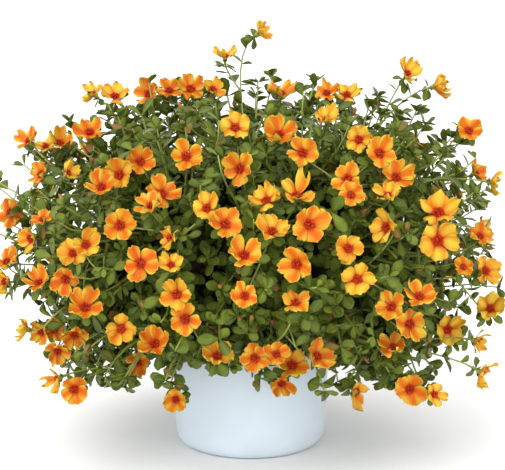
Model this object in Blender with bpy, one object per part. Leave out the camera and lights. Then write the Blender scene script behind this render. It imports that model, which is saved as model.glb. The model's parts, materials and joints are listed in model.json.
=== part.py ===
"""A potted portulaca in full bloom, at its real size, in metres.

A plain white pot holds soil, and fourteen leafy stems stand in holes in the soil. Each stem has a dense
core, where its leaves are packed tight, and leafy shoots that stand out of it. Sprays of five-petalled
blooms stand just clear of the cores on slender flower stalks. The origin is the middle of the pot's
underside, +Z is up, and -Y is the side that faces the viewer.
"""

import math

import bmesh
import bpy
import numpy as np
from mathutils import Vector
from mathutils.bvhtree import BVHTree

# The pot: a turned shell with a rounded foot, a plain lip and drainage holes.
POT_HEIGHT = 0.115
POT_RIM_RADIUS = 0.078
POT_HEEL_RADIUS = 0.0735
POT_FOOT_RADIUS = 0.063
POT_FOOT_ROUND = 0.013
POT_WALL = 0.0028
POT_FLOOR = 0.004
POT_LIP = 0.0014
POT_LIP_HEIGHT = 0.009
POT_SIDES = 32
DRAIN_COUNT = 5
DRAIN_RADIUS = 0.004
DRAIN_SIDES = 10
DRAIN_CIRCLE = 0.038

# The soil fills the pot to a little under its lip.
SOIL_TOP = 0.101
SOIL_MOUND = 0.004
SOIL_GAP = 0.0004
HOLE_DEPTH = 0.013
HOLE_GAP = 0.0008
HOLE_SIDES = 6
HOLE_SPACING = 0.0135
HOLE_LEAN = 0.17

# The mound of flowers: a dome that is deeper above its widest height than below it.
MOUND_CENTRE = np.array((0.0, 0.0, 0.190))
MOUND_RADII = np.array((0.240, 0.205, 0.160))
MOUND_SKIRT = 0.110

# Leafy stems, each with a core that reaches out to a share of the mound.
STEM_COUNT = 14
STEM_SIDES = 5
STEM_RADII = np.linspace(0.0026, 0.0016, 6)
STEM_FOOT_GAP = 0.001
CORE_PLACE = 0.5
CORE_REACH = 0.66
CORE_BACK = 0.6
CORE_GAP = 0.002
CORE_FLOOR = POT_HEIGHT + 0.010
CORE_ROUGH = 0.66
CORE_POINTS = 42

# Leafy shoots, with a whorl of leaves halfway and one at the tip.
SHOOT_COUNT = 62
SHOOT_RADII = np.array((0.0014, 0.0011, 0.0009))
SHOOT_REACH = 0.95
SHOOT_SUNK = 0.004
WHORL_SPOTS = (0.0, 0.48, 1.0)
WHORL_HALF = 0.001
WHORL_TURNS = (60, 30, -30, 0, 45, 15, -15)
LEAF_LENGTH = 0.019
LEAF_WIDTH = 0.0115
LEAF_THICKNESS = 0.0022
LEAF_OUTLINE = ((0.55, -0.5), (1.0, -0.22), (1.0, 0.22), (0.55, 0.5))
LEAF_MIDDLE = 0.58
LEAF_DROOP = 0.10
LEAF_LIFTS = (0.2, 0.45, 0.7, 1.0)

# Blooms. A petal's rim is (share of its sector, share of the radius, height in the cup).
PETALS = 5
PETAL_RIM = ((-0.5, 0.56, 0.50), (-0.27, 0.98, 1.0), (0.27, 0.98, 1.0))
CUP_SHARE = 0.42
CALYX_DEPTH = 0.0042
CALYX_RADIUS = 0.0015
CALYX_TURN = math.radians(12)
BACK_BLOOMS = 50
BACK_BLOOM_RADIUS = 0.0170
BACK_START = 0.03
BACK_SCATTER = 0.006
BLOOM_SPACING = 0.036

# Sprays of flower stalks: a main stalk each, and the others branch off it.
SPRAY_COUNT = 42
SPRAY_GAP = 0.0024
STALK_RADIUS = 0.0009
STALK_RINGS = 3
STALK_STUB = 0.010

# The search for room: the clearance, the steps of a moved bloom and the bows of a moved curve.
GAP = 0.0005
TEST_SIDES = 6
BLOOM_TRIES = 30
BLOOM_STEP = 0.0022
CURVE_TRIES = 40
BOW_STEP = 0.001
BRANCH_TRIES = 12
SEED = 7

# Where the viewer of the photograph stands, and how its pixels lie round the line of sight.
EYE = np.array((0.0, -1.664, 0.541))
AIM = np.array((0.002, 0.0, 0.2055))
PICTURE_MIDDLE = (252.5, 235.0)
PIXELS_PER_TANGENT = 1750.0
FARTHEST_FRONT_Y = 0.06
SIGHT_STEPS = np.arange(1.2, 2.0, 0.002)
POT_CLEARANCE = 0.034
LOW_HEIGHT = POT_HEIGHT + 0.02

# The blooms that the photograph shows: the pixel of the middle of each, the way it faces in degrees
# (turn to the viewer's right, then tilt above the horizon) and its radius in millimetres.
FRONT_BLOOMS = (
    (115, 92, 5, 60, 17), (90, 92, -60, 35, 14), (146, 92, -30, 25, 16), (169, 87, 10, 50, 16),
    (89, 129, 0, 45, 17), (61, 140, 25, 50, 15), (26, 138, -45, 45, 15), (45, 143, -10, 60, 13),
    (263, 31, 62, 32, 16), (225, 52, 0, 78, 15), (191, 86, 10, 38, 17), (214, 86, 25, 55, 14),
    (281, 89, 8, 68, 18), (326, 90, -15, 48, 15), (347, 91, 5, 58, 16), (327, 116, 0, 60, 14),
    (235, 125, 0, 34, 18), (279, 132, 0, 38, 18), (304, 152, 12, 20, 17), (186, 155, 0, 24, 17),
    (238, 168, -16, 16, 18), (410, 71, 40, 45, 15), (440, 86, 68, 12, 16), (470, 129, 8, 30, 16),
    (358, 138, -10, 28, 16), (382, 151, 22, 28, 18), (37, 174, -48, 8, 15), (70, 171, 55, 40, 12),
    (141, 160, 12, 25, 16), (118, 174, -10, 20, 17), (101, 184, 0, 46, 16), (8, 212, -15, 15, 17),
    (27, 239, -42, 8, 15), (41, 217, -20, 50, 12), (120, 225, 6, 14, 18), (163, 191, 15, 35, 18),
    (149, 202, -25, 55, 16), (140, 263, 2, 15, 18), (166, 238, -62, 5, 14), (171, 262, 0, 52, 13),
    (72, 251, -12, 30, 17), (87, 243, 22, 30, 16), (5, 258, -20, 58, 15), (1, 282, -40, 10, 16),
    (37, 279, -30, 58, 15), (65, 281, 0, -8, 16), (85, 305, 5, 40, 18), (206, 206, -6, 34, 16),
    (226, 223, 6, 25, 17), (265, 197, -22, 48, 16), (297, 191, 12, 64, 17), (273, 228, 6, 50, 18),
    (312, 224, 20, 12, 20), (245, 252, 12, 44, 18), (295, 264, -20, 12, 18), (245, 295, 2, 25, 17),
    (296, 299, 5, 55, 17), (176, 294, -8, 18, 17), (347, 177, -6, 28, 17), (351, 194, -5, 22, 14),
    (398, 175, 18, 32, 17), (387, 192, -22, 58, 14), (439, 209, 2, 42, 21), (439, 241, 5, 10, 21),
    (382, 227, -48, 12, 17), (349, 248, 4, 15, 17), (358, 279, 2, 16, 17), (479, 171, 62, 30, 15),
    (496, 183, 80, -8, 14), (481, 234, 4, 38, 14), (464, 266, 2, 28, 11), (489, 271, 35, 12, 17),
    (420, 292, 4, 62, 18), (389, 305, -32, 30, 17), (491, 306, 0, 45, 18), (121, 329, 2, 10, 17),
    (154, 342, -5, 32, 18), (138, 364, 0, -6, 14), (38, 333, -32, 0, 14), (54, 330, 10, 10, 14),
    (75, 337, 12, -10, 15), (22, 329, -78, 10, 13), (57, 354, 0, -20, 14), (54, 380, -60, -15, 14),
    (74, 391, 5, 0, 17), (175, 401, -10, 0, 14), (217, 353, 0, 50, 17), (255, 359, 2, 10, 17),
    (292, 362, 0, 44, 18), (277, 353, 10, 32, 14), (320, 354, 38, 34, 17), (282, 386, 5, -12, 14),
    (185, 320, 0, 8, 17), (413, 325, 26, 6, 18), (450, 329, 20, 20, 17), (480, 342, 60, -8, 14),
    (486, 375, 58, -22, 16), (392, 344, -28, 55, 15), (410, 391, 0, 2, 18), (436, 394, 22, 20, 13),
    (359, 394, 42, -14, 15),
)

GREEN = (0.10, 0.20, 0.045, 1.0)
ORANGE = (0.95, 0.36, 0.03, 1.0)
POT_WHITE = (0.80, 0.84, 0.88, 1.0)
SOIL_BROWN = (0.055, 0.035, 0.022, 1.0)

UP = np.array((0.0, 0.0, 1.0))


def unit(v):
    return v / np.linalg.norm(v)


def bezier(points, count):
    """The cubic curve of four control points: as many points as count says, or one at each spot in it."""
    t = (np.linspace(0.0, 1.0, count) if isinstance(count, int) else np.array(count))[:, None]
    a, b, c, d = points
    return (1 - t) ** 3 * a + 3 * t * (1 - t) ** 2 * b + 3 * t**2 * (1 - t) * c + t**3 * d


def facing(turn, tilt):
    """The direction that a bloom faces, turned to the right of -Y and tilted above the horizon."""
    turn, tilt = math.radians(turn), math.radians(tilt)
    return np.array((
        math.sin(turn) * math.cos(tilt), -math.cos(turn) * math.cos(tilt), math.sin(tilt)
    ))


def side_frame(axis):
    """Two unit vectors square to the axis and to each other."""
    away = UP if abs(axis[2]) < 0.9 else np.array((0.0, 1.0, 0.0))
    across = unit(np.cross(away, axis))
    return across, np.cross(axis, across)


def tube(path, radii, sides):
    """A closed tube along a path: a ring square to the path at each point, and a flat end cap."""
    tangents = np.gradient(path, axis=0)
    across, _ = side_frame(unit(tangents[0]))
    angles = np.arange(sides) * 2 * math.pi / sides
    rings = []
    for point, tangent, radius in zip(path, tangents, radii):
        tangent = unit(tangent)
        across = unit(across - tangent * np.dot(across, tangent))
        upward = np.cross(tangent, across)
        rings.append(point + radius * (np.outer(np.cos(angles), across) + np.outer(np.sin(angles), upward)))
    faces = [tuple(range(sides))[::-1]]
    for ring in range(len(path) - 1):
        low = ring * sides
        for k in range(sides):
            nxt = (k + 1) % sides
            faces.append((low + k, low + nxt, low + sides + nxt, low + sides + k))
    last = (len(path) - 1) * sides
    faces.append(tuple(last + k for k in range(sides)))
    return np.concatenate(rings), faces


def leaf_points(root, along, face, length, width, pad=0.0):
    """A leaf's points: four round its blunt outline, side to side, then its top and its back.

    The blade is widest past its middle, raised along its middle, and droops towards its end.
    """
    face = unit(face - along * np.dot(face, along))
    across = np.cross(face, along)
    points = []
    for share, side in LEAF_OUTLINE:
        droop = face * (LEAF_DROOP * length * share**2)
        reach = along * (share * length + (pad if share == 1.0 else 0.0))
        points.append(root + reach + across * (side * width + math.copysign(pad, side)) - droop)
    middle = root + along * (LEAF_MIDDLE * length) - face * (LEAF_DROOP * length * LEAF_MIDDLE**2)
    points.append(middle + face * (0.5 * LEAF_THICKNESS + pad))
    points.append(middle - face * (0.5 * LEAF_THICKNESS + pad))
    return points


def three_round(centre, tangent, outward, radius):
    """Three points round a shoot or a stalk, the first of them outward."""
    beside = np.cross(tangent, outward)
    angles = 2 * math.pi * np.arange(3) / 3
    return centre + radius * (np.outer(np.cos(angles), outward) + np.outer(np.sin(angles), beside))


def leaf_alone(centre, tangent, outward, side, shape, pad=0.0):
    """A leaf of a whorl as a closed shape of its own, to see what it would cross."""
    low = three_round(centre - tangent * WHORL_HALF, tangent, outward, SHOOT_RADII[1] + pad)
    high = three_round(centre + tangent * WHORL_HALF, tangent, outward, SHOOT_RADII[2] + pad)
    nxt = (side + 1) % 3
    points = [low[side], low[nxt], high[nxt], high[side], *leaf_points(*shape, pad)]
    return np.array(points), [*leaf_faces((0, 1, 2, 3), 4), (3, 2, 1, 0)]


def leafy_shoot(root, whorls):
    """A three-sided shoot with whorls of up to three leaves, each grown out of one side of the shoot.

    A whorl is (centre, tangent, outward, leaves): the shoot has a ring of points just below it and one
    just above, the first point outward, and each side between the two rings is bare or opens into a leaf.
    """
    _, tangent, outward, _ = whorls[0]
    low_tangent = unit(whorls[0][0] - root)
    outward = unit(outward - low_tangent * np.dot(outward, low_tangent))
    rings = [(root, low_tangent, outward, SHOOT_RADII[0], ())]
    for centre, tangent, outward, leaves in whorls:
        rings.append((centre - tangent * WHORL_HALF, tangent, outward, SHOOT_RADII[1], ()))
        rings.append((centre + tangent * WHORL_HALF, tangent, outward, SHOOT_RADII[2], leaves))
    points = []
    for centre, tangent, outward, radius, _ in rings:
        points.extend(three_round(centre, tangent, outward, radius))
    faces = [(2, 1, 0)]
    for ring in range(1, len(rings)):
        leaves = rings[ring][4]
        for k in range(3):
            low, nxt = 3 * (ring - 1) + k, 3 * (ring - 1) + (k + 1) % 3
            side = (low, nxt, nxt + 3, low + 3)
            if not leaves or leaves[k] is None:
                faces.append(side)
                continue
            first = len(points)
            points.extend(leaf_points(*leaves[k]))
            faces.extend(leaf_faces(side, first))
    last = 3 * (len(rings) - 1)
    faces.append((last, last + 1, last + 2))
    return np.array(points), faces


def leaf_faces(side, first):
    """The faces that join a side of the shoot (low, next low, next high, high) to a leaf's points."""
    low, next_low, next_high, high = side
    edge = [high, first, first + 1, first + 2, first + 3, next_high]
    over, under = first + 4, first + 5
    faces = [(low, first, high), (next_low, next_high, first + 3), (high, over, next_high)]
    faces.append((low, next_low, under))
    faces += [(a, b, over) for a, b in zip(edge, edge[1:])]
    edge[0], edge[-1] = low, next_low
    return faces + [(b, a, under) for a, b in zip(edge, edge[1:])]


def bloom(middle, axis, radius, spin, pad=0.0, path=(), widths=()):
    """Five petals in one cupped blade on a calyx, which runs on into a three-sided stalk along the path.

    The rim is lobed, with a dip between petals, and goes in to the cup's floor above and to a ring of
    three points below. The path is the stalk's, from just under the calyx to its root, with its radii.
    """
    across, upward = side_frame(axis)
    sector = 2 * math.pi / PETALS
    floor_depth = CUP_SHARE * radius
    rim = []
    for k in range(PETALS):
        for share, reach, height in PETAL_RIM:
            angle = spin + (k + share) * sector
            outward = across * math.cos(angle) + upward * math.sin(angle)
            rim.append(middle + outward * (radius * reach + pad) - axis * floor_depth * (1 - height))
    count = len(rim)
    calyx = middle - axis * (floor_depth + CALYX_DEPTH + pad)
    points = [*rim, middle - axis * (floor_depth - pad)]
    tangents = [-axis, *[unit(b - a) for a, b in zip([calyx, *path[:-1]], path)]]
    start = spin + CALYX_TURN
    outward = across * math.cos(start) + upward * math.sin(start)
    for place, tangent, width in zip([calyx, *path], tangents, [CALYX_RADIUS, *widths]):
        outward = unit(outward - tangent * np.dot(outward, tangent))
        points.extend(three_round(place, -tangent, outward, width + pad))
    faces = []
    for k in range(count):
        here, there = count + 1 + 3 * k // count, count + 1 + 3 * ((k + 1) % count) // count
        faces.append((k, (k + 1) % count, count))
        faces.append(((k + 1) % count, k, here))
        if here != there:
            faces.append(((k + 1) % count, here, there))
    for ring in range(len(path)):
        low = count + 1 + 3 * ring
        for k in range(3):
            nxt = (k + 1) % 3
            faces.append((low + nxt, low + k, low + 3 + k, low + 3 + nxt))
    last = count + 1 + 3 * len(path)
    faces.append((last + 2, last + 1, last))
    return np.array(points), faces


class Room:
    """What stands where: each shape placed so far, with its node, so that no two nodes cross."""

    def __init__(self):
        self.trees, self.owners, self.lows, self.highs = [], [], [], []

    def add(self, shape, owner):
        points, faces = shape
        self.trees.append(BVHTree.FromPolygons([Vector(p) for p in points], faces))
        self.owners.append(owner)
        self.lows.append(points.min(axis=0))
        self.highs.append(points.max(axis=0))

    def crossed(self, shape, ignore=()):
        """Whether the shape crosses one that belongs to an owner outside ignore."""
        points, faces = shape
        low, high = points.min(axis=0), points.max(axis=0)
        lows, highs = np.array(self.lows).reshape(-1, 3), np.array(self.highs).reshape(-1, 3)
        near = (lows <= high).all(axis=1) & (highs >= low).all(axis=1)
        tree = None
        for index in np.flatnonzero(near):
            if self.owners[index] in ignore:
                continue
            tree = tree or BVHTree.FromPolygons([Vector(p) for p in points], faces)
            if tree.overlap(self.trees[index]):
                return True
        return False


def mound_measure(points):
    """How far out in the mound each point is: 1 on its surface, and less inside it."""
    offset = points - MOUND_CENTRE
    radii = np.tile(MOUND_RADII, (len(points), 1))
    radii[offset[:, 2] < 0, 2] = MOUND_SKIRT
    return np.linalg.norm(offset / radii, axis=1)


def mound_points(count, low, high):
    """Points spread evenly over the mound in a sunflower spiral, between two heights of a unit ball."""
    rise = low + (high - low) * (np.arange(count) + 0.5) / count
    turn = np.arange(count) * math.pi * (3 - math.sqrt(5))
    level = np.sqrt(1 - rise**2)
    ball = np.stack((level * np.cos(turn), level * np.sin(turn), rise), axis=1)
    radii = np.tile(MOUND_RADII, (count, 1))
    radii[rise < 0, 2] = MOUND_SKIRT
    return MOUND_CENTRE + ball * radii


def outward_at(point):
    """The direction square to the mound's surface at a point."""
    radii = MOUND_RADII.copy()
    if point[2] < MOUND_CENTRE[2]:
        radii[2] = MOUND_SKIRT
    return unit((point - MOUND_CENTRE) / radii**2)


def sight_line(pixel):
    """The direction from the viewer's eye through a pixel of the photograph, 1 long along the view."""
    ahead = unit(AIM - EYE)
    right = unit(np.cross(ahead, UP))
    over = np.cross(right, ahead)
    across = (pixel[0] - PICTURE_MIDDLE[0]) / PIXELS_PER_TANGENT
    down = (pixel[1] - PICTURE_MIDDLE[1]) / PIXELS_PER_TANGENT
    return ahead + right * across - over * down


def front_place(pixel):
    """Where a line of sight first meets the mound, or passes nearest to it, clear of the pot."""
    line = sight_line(pixel)
    points = EYE + SIGHT_STEPS[:, None] * line
    measure = mound_measure(points)
    from_axis = np.hypot(points[:, 0], points[:, 1])
    by_pot = (points[:, 2] < LOW_HEIGHT) & (from_axis < POT_RIM_RADIUS + POT_CLEARANCE)
    measure[by_pot | (points[:, 1] > FARTHEST_FRONT_Y)] = np.inf
    inside = np.flatnonzero(measure <= 1.0)
    return points[inside[0] if len(inside) else np.argmin(measure)]


def share_out(points, count):
    """Which of count groups each point is in: seeds as far apart as can be, then the nearest middle."""
    middles = [points[0]]
    while len(middles) < count:
        gaps = np.min([np.linalg.norm(points - m, axis=1) for m in middles], axis=0)
        middles.append(points[np.argmax(gaps)])
    middles = np.array(middles)
    for _ in range(12):
        groups = np.argmin(np.linalg.norm(points[:, None] - middles, axis=2), axis=1)
        middles = np.array([points[groups == k].mean(axis=0) for k in range(count)])
    return groups


def front_blooms():
    """The blooms of the photograph as (middle, axis, radius, the way to push one to find it room)."""
    return [(front_place((x, y)), facing(turn, tilt), radius * 0.001, unit(sight_line((x, y))))
            for x, y, turn, tilt, radius in FRONT_BLOOMS]


def back_blooms(taken, draw):
    """The blooms of the far side, in the same form: a spiral over the mound, scattered and kept apart."""
    found = []
    spiral = mound_points(3 * BACK_BLOOMS, -0.80, 0.97)
    for point in spiral[spiral[:, 1] > BACK_START]:
        point = point + draw.normal(0, BACK_SCATTER, 3)
        if len(found) == BACK_BLOOMS:
            break
        if np.linalg.norm(np.array(taken) - point, axis=1).min() < BLOOM_SPACING:
            continue
        outward = outward_at(point)
        axis = unit(outward + UP * 0.35 + draw.normal(0, 0.22, 3))
        found.append((point, axis, BACK_BLOOM_RADIUS * draw.uniform(0.88, 1.08), -outward))
        taken.append(point)
    return found


def place_blooms(room, draw):
    """Every bloom as (middle, axis, radius, spin), pushed in or out until it and its stub are clear."""
    wanted = front_blooms()
    wanted += back_blooms([place for place, *_ in wanted], draw)
    blooms = []
    for place, axis, radius, push in wanted:
        spin = draw.uniform(0, 2 * math.pi)
        for attempt in range(BLOOM_TRIES):
            step = BLOOM_STEP * ((attempt + 1) // 2) * (1 if attempt % 2 else -1)
            middle = place + push * step
            stub = middle - axis * (CUP_SHARE * radius + CALYX_DEPTH + STALK_STUB)
            if not room.crossed(bloom(middle, axis, radius, spin, GAP, [stub], [STALK_RADIUS])):
                break
        else:
            raise RuntimeError(f"no room for bloom {len(blooms)}")
        room.add(bloom(middle, axis, radius, spin, 0.0, [stub], [STALK_RADIUS]), f"bloom {len(blooms)}")
        blooms.append((middle, axis, radius, spin))
    return blooms


def stem_holes(targets):
    """The middle of each stem's hole in the soil: towards what the stem carries, then spread apart."""
    holes = targets[:, :2] * HOLE_LEAN
    for _ in range(200):
        gaps = holes[:, None] - holes
        far = np.linalg.norm(gaps, axis=2) + np.eye(len(holes))
        close = np.clip(HOLE_SPACING - far, 0, None) * (1 - np.eye(len(holes)))
        holes = holes + 0.5 * (gaps * (close / far)[:, :, None]).sum(axis=1)
    return holes


def stem_path(room, draw, hole, centre):
    """A leafy stem's path: straight up out of its hole, then over the pot's lip and into its core."""
    foot = np.array((*hole, SOIL_TOP - HOLE_DEPTH + STEM_FOOT_GAP))
    surface = np.array((*hole, SOIL_TOP + SOIL_MOUND + STEM_FOOT_GAP))
    rise = centre[2] - surface[2]
    control = (surface, surface + UP * 0.5 * rise, centre * 0.7 + surface * 0.3 + UP * 0.25 * rise, centre)
    path = curve_clear(room, STEM_RADII[1:], STEM_SIDES, len(STEM_RADII) - 1, control, draw, ())
    if path is None:
        raise RuntimeError("no room for a stem")
    return np.vstack((foot, path))


def ball():
    """A round ball of 80 triangles, as (directions, faces)."""
    mesh = bmesh.new()
    bmesh.ops.create_icosphere(mesh, subdivisions=2, radius=1.0)
    directions = np.array([v.co for v in mesh.verts])
    faces = [tuple(v.index for v in face.verts) for face in mesh.faces]
    mesh.free()
    return directions, faces


def core(k, centres, roughness):
    """The dense middle of a leafy stem, where its leaves are packed tight; the outer ones stand out of it.

    It is a rough ball, drawn in to stay on its own side of the planes halfway to the other stems' cores,
    inside a smaller mound, above the pot and out of the mound's very middle.
    """
    directions, faces = ball()
    centre = centres[k]
    others = np.delete(centres, k, axis=0) - centre
    planes = [(unit(other), 0.5 * np.linalg.norm(other) - CORE_GAP) for other in others]
    planes.append((unit(MOUND_CENTRE - centre), CORE_BACK * np.linalg.norm(MOUND_CENTRE - centre)))
    planes.append((-UP, centre[2] - CORE_FLOOR))
    steps = np.linspace(0.0, 0.3, 151)
    reaches = []
    for direction, rough in zip(directions, roughness):
        inside = mound_measure(centre + steps[:, None] * direction) <= CORE_REACH
        reach = steps[inside].max()
        for normal, distance in planes:
            toward = np.dot(direction, normal)
            if toward > 0.01:
                reach = min(reach, distance / toward)
        reaches.append(reach * rough)
    return centre + directions * np.array(reaches)[:, None], faces


def place_cores(room, plant, draw, centres):
    """A core for each stem, shrunk about its centre until no other stem passes through it."""
    for k in range(STEM_COUNT):
        shape = core(k, centres, draw.uniform(CORE_ROUGH, 1.0, CORE_POINTS))
        while room.crossed(shape, (f"stem {k}",)):
            shape = (centres[k] + 0.95 * (shape[0] - centres[k]), shape[1])
        room.add(shape, f"stem {k}")
        plant["cores"].append(shape)


def on_core(shape, centre, toward):
    """Where the line from a core's centre towards a point leaves the core, and that line's direction."""
    tree = BVHTree.FromPolygons([Vector(p) for p in shape[0]], shape[1])
    direction = unit(toward - centre)
    place, *_ = tree.ray_cast(Vector(centre), Vector(direction))
    return np.array(place), direction


def curve_clear(room, radii, sides, count, control, draw, ignore, beyond=0.0):
    """The first of many bowed curves whose tube crosses nothing, each bowed a little more, or None.

    The tube is tested with its end drawn out beyond the curve's own end.
    """
    start, leave, arrive, end = control
    for attempt in range(CURVE_TRIES):
        bow = draw.normal(0, BOW_STEP * attempt, 3)
        path = bezier((start, leave + bow, arrive + bow * 0.6, end), count)
        tested = np.vstack((path[:-1], path[-1] + beyond * unit(path[-1] - path[-2])))
        if not room.crossed(tube(tested, np.asarray(radii) + 0.6 * GAP, sides), ignore):
            return path
    return None


def lay_out():
    """The whole plant as numbers: stems, cores, sprays, blooms and shoots, in nodes that don't cross."""
    draw = np.random.default_rng(SEED)
    room = Room()
    room.add(turned_points(POT_PROFILE, POT_SIDES), "pot")
    blooms = place_blooms(room, draw)
    feet = np.array([m - a * (CUP_SHARE * r + CALYX_DEPTH) for m, a, r, _ in blooms])
    spray_of = share_out(feet, SPRAY_COUNT)
    hearts = np.array([feet[spray_of == k].mean(axis=0) for k in range(SPRAY_COUNT)])
    stem_of = share_out(hearts, STEM_COUNT)
    targets = np.array([hearts[stem_of == k].mean(axis=0) for k in range(STEM_COUNT)])
    holes = stem_holes(targets)
    plant = {"blooms": blooms, "holes": holes, "stems": [], "cores": [], "sprays": [], "shoots": []}
    centres = MOUND_CENTRE + CORE_PLACE * (targets - MOUND_CENTRE)
    for k, (hole, centre) in enumerate(zip(holes, centres)):
        path = stem_path(room, draw, hole, centre)
        plant["stems"].append(path)
        room.add(tube(path, STEM_RADII, STEM_SIDES), f"stem {k}")
    place_cores(room, plant, draw, centres)
    for k in range(STEM_COUNT):
        for spray in np.flatnonzero(stem_of == k):
            members = np.flatnonzero(spray_of == spray)
            members = members[np.argsort(np.linalg.norm(feet[members] - hearts[spray], axis=1))]
            place, direction = on_core(plant["cores"][k], centres[k], hearts[spray])
            root = place + direction * SPRAY_GAP
            plant["sprays"].append(spray_stalks(room, draw, blooms, feet, f"spray {spray}", root, members))
    place_shoots(plant, room, draw, centres)
    return plant


def spray_stalks(room, draw, blooms, feet, own, root, members):
    """The stalks of one spray, as (bloom, path from its root to its calyx), the main one first."""
    stalks = []
    for rank, member in enumerate(members):
        axis, foot = blooms[member][1], feet[member]
        ignore = (own, f"bloom {member}")
        widths = stalk_widths(rank == 0)
        for attempt in range(BRANCH_TRIES):
            if rank:
                spot = 0.12 + 0.62 * ((0.37 * attempt + rank / len(members)) % 1.0)
                root = along_path(stalks[0][1], spot)
            length = np.linalg.norm(foot - root)
            leave = root + unit(outward_at(root) + unit(foot - root)) * 0.3 * length
            control = (root, leave, foot - axis * 0.35 * length, foot)
            path = curve_clear(room, widths, TEST_SIDES, STALK_RINGS, control, draw, ignore)
            if path is not None:
                break
        else:
            raise RuntimeError(f"no room for the stalk of bloom {member}")
        room.add(tube(path, widths, TEST_SIDES), own)
        stalks.append((member, path))
    return stalks


def stalk_widths(main):
    """A stalk's radius at each point from its root: a branch has a finer root, sunk in the main stalk."""
    widths = np.full(STALK_RINGS, STALK_RADIUS)
    widths[0] *= 1.25 if main else 0.55
    widths[-1] = CALYX_RADIUS
    return widths


def along_path(path, share):
    """The point at a share of the way along a path, by its points."""
    spot = share * (len(path) - 1)
    low = min(int(spot), len(path) - 2)
    return path[low] + (spot - low) * (path[low + 1] - path[low])


def place_shoots(plant, room, draw, centres):
    """Leafy shoots from the stems out to the mound's surface, each with two whorls of leaves."""
    ends = mound_points(SHOOT_COUNT, -0.85, 0.96)
    ends = MOUND_CENTRE + (ends - MOUND_CENTRE) * SHOOT_REACH
    from_axis = np.hypot(ends[:, 0], ends[:, 1])
    ends = ends[(from_axis > POT_RIM_RADIUS + 0.03) | (ends[:, 2] > POT_HEIGHT + 0.05)]
    nearest = np.argmin(np.linalg.norm(ends[:, None] - centres, axis=2), axis=1)
    for k in range(STEM_COUNT):
        own = f"stem {k}"
        for end in ends[nearest == k]:
            place, direction = on_core(plant["cores"][k], centres[k], end)
            start = place - direction * SHOOT_SUNK
            length = np.linalg.norm(end - start)
            control = (start, start + direction * 0.35 * length, end - outward_at(end) * 0.35 * length, end)
            path = curve_clear(
                room, SHOOT_RADII, TEST_SIDES, WHORL_SPOTS, control, draw, (own,), WHORL_HALF
            )
            if path is not None:
                room.add(tube(path, SHOOT_RADII, TEST_SIDES), own)
                plant["shoots"].append((k, path[0], place_whorls(room, draw, own, path)))


def place_whorls(room, draw, own, path):
    """The whorls of one shoot, turned on where their leaves would cross another node or another whorl."""
    placed, whorls = Room(), []
    outward = side_frame(unit(path[1] - path[0]))[0]
    for low, centre in zip(path, path[1:]):
        tangent = unit(centre - low)
        outward = unit(outward - tangent * np.dot(outward, tangent))
        best = None
        for turn in WHORL_TURNS:
            angle = math.radians(turn)
            first = outward * math.cos(angle) + np.cross(tangent, outward) * math.sin(angle)
            leaves = [place_leaf(room, placed, draw, own, centre, tangent, first, k) for k in range(3)]
            if best is None or leaves.count(None) < best[3].count(None):
                best = (centre, tangent, first, leaves)
            if None not in leaves:
                break
        whorls.append(best)
        outward = best[2]
        for side, shape in enumerate(best[3]):
            if shape:
                room.add(leaf_alone(*best[:3], side, shape), own)
                placed.add(leaf_alone(*best[:3], side, shape), "")
    return whorls


def place_leaf(room, placed, draw, own, centre, tangent, first, side):
    """One leaf of a whorl at the first lift that is clear, or None where every one crosses something."""
    angle = 2 * math.pi * (side + 0.5) / 3
    outward = first * math.cos(angle) + np.cross(tangent, first) * math.sin(angle)
    size = draw.uniform(0.85, 1.15)
    for lift in draw.permutation(LEAF_LIFTS):
        along = unit(outward + tangent * lift + UP * 0.12)
        root = centre + outward * (0.4 * SHOOT_RADII[1])
        shape = (root, along, tangent + UP * 0.25, LEAF_LENGTH * size, LEAF_WIDTH * size)
        blade = leaf_alone(centre, tangent, first, side, shape, 0.6 * GAP)
        if not room.crossed(blade, (own,)) and not placed.crossed(blade):
            return shape
    return None


def pot_profile():
    """The pot's wall, from the middle of its floor up the inside, over the lip and down to its underside."""
    lip = POT_RIM_RADIUS + POT_LIP
    lip_foot = POT_HEIGHT - POT_LIP_HEIGHT
    slope = (POT_RIM_RADIUS - POT_HEEL_RADIUS) / (POT_HEIGHT - POT_FOOT_ROUND)
    under_lip = POT_RIM_RADIUS - slope * POT_LIP_HEIGHT
    inner_foot = POT_FOOT_RADIUS - 0.5 * POT_WALL
    points = [(0, POT_FLOOR), (inner_foot, POT_FLOOR), (POT_HEEL_RADIUS - POT_WALL, POT_FOOT_ROUND + 0.002),
              (POT_RIM_RADIUS - POT_WALL, POT_HEIGHT), (lip, POT_HEIGHT), (lip, lip_foot),
              (under_lip, lip_foot - POT_LIP), (POT_HEEL_RADIUS, POT_FOOT_ROUND)]
    for angle in (30, 60):
        turn = math.radians(angle)
        points.append((POT_FOOT_RADIUS + (POT_HEEL_RADIUS - POT_FOOT_RADIUS) * math.cos(turn),
                       POT_FOOT_ROUND * (1 - math.sin(turn))))
    return [*points, (POT_FOOT_RADIUS, 0), (0, 0)]


def turned_points(profile, sides):
    """A profile turned about Z, as (points, faces), for the room that the pot takes."""
    angles = np.arange(sides) * 2 * math.pi / sides
    points = np.array([(r * math.cos(a), r * math.sin(a), z) for r, z in profile for a in angles])
    faces = []
    for ring in range(len(profile) - 1):
        for k in range(sides):
            nxt = (k + 1) % sides
            low, high = ring * sides, (ring + 1) * sides
            faces.append((low + k, low + nxt, high + nxt, high + k))
    return points, faces


POT_PROFILE = pot_profile()


def material(name, colour, roughness):
    made = bpy.data.materials.new(name)
    made.use_nodes = True
    shader = made.node_tree.nodes["Principled BSDF"]
    shader.inputs["Base Color"].default_value = colour
    shader.inputs["Roughness"].default_value = roughness
    made.diffuse_color = colour
    return made


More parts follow.
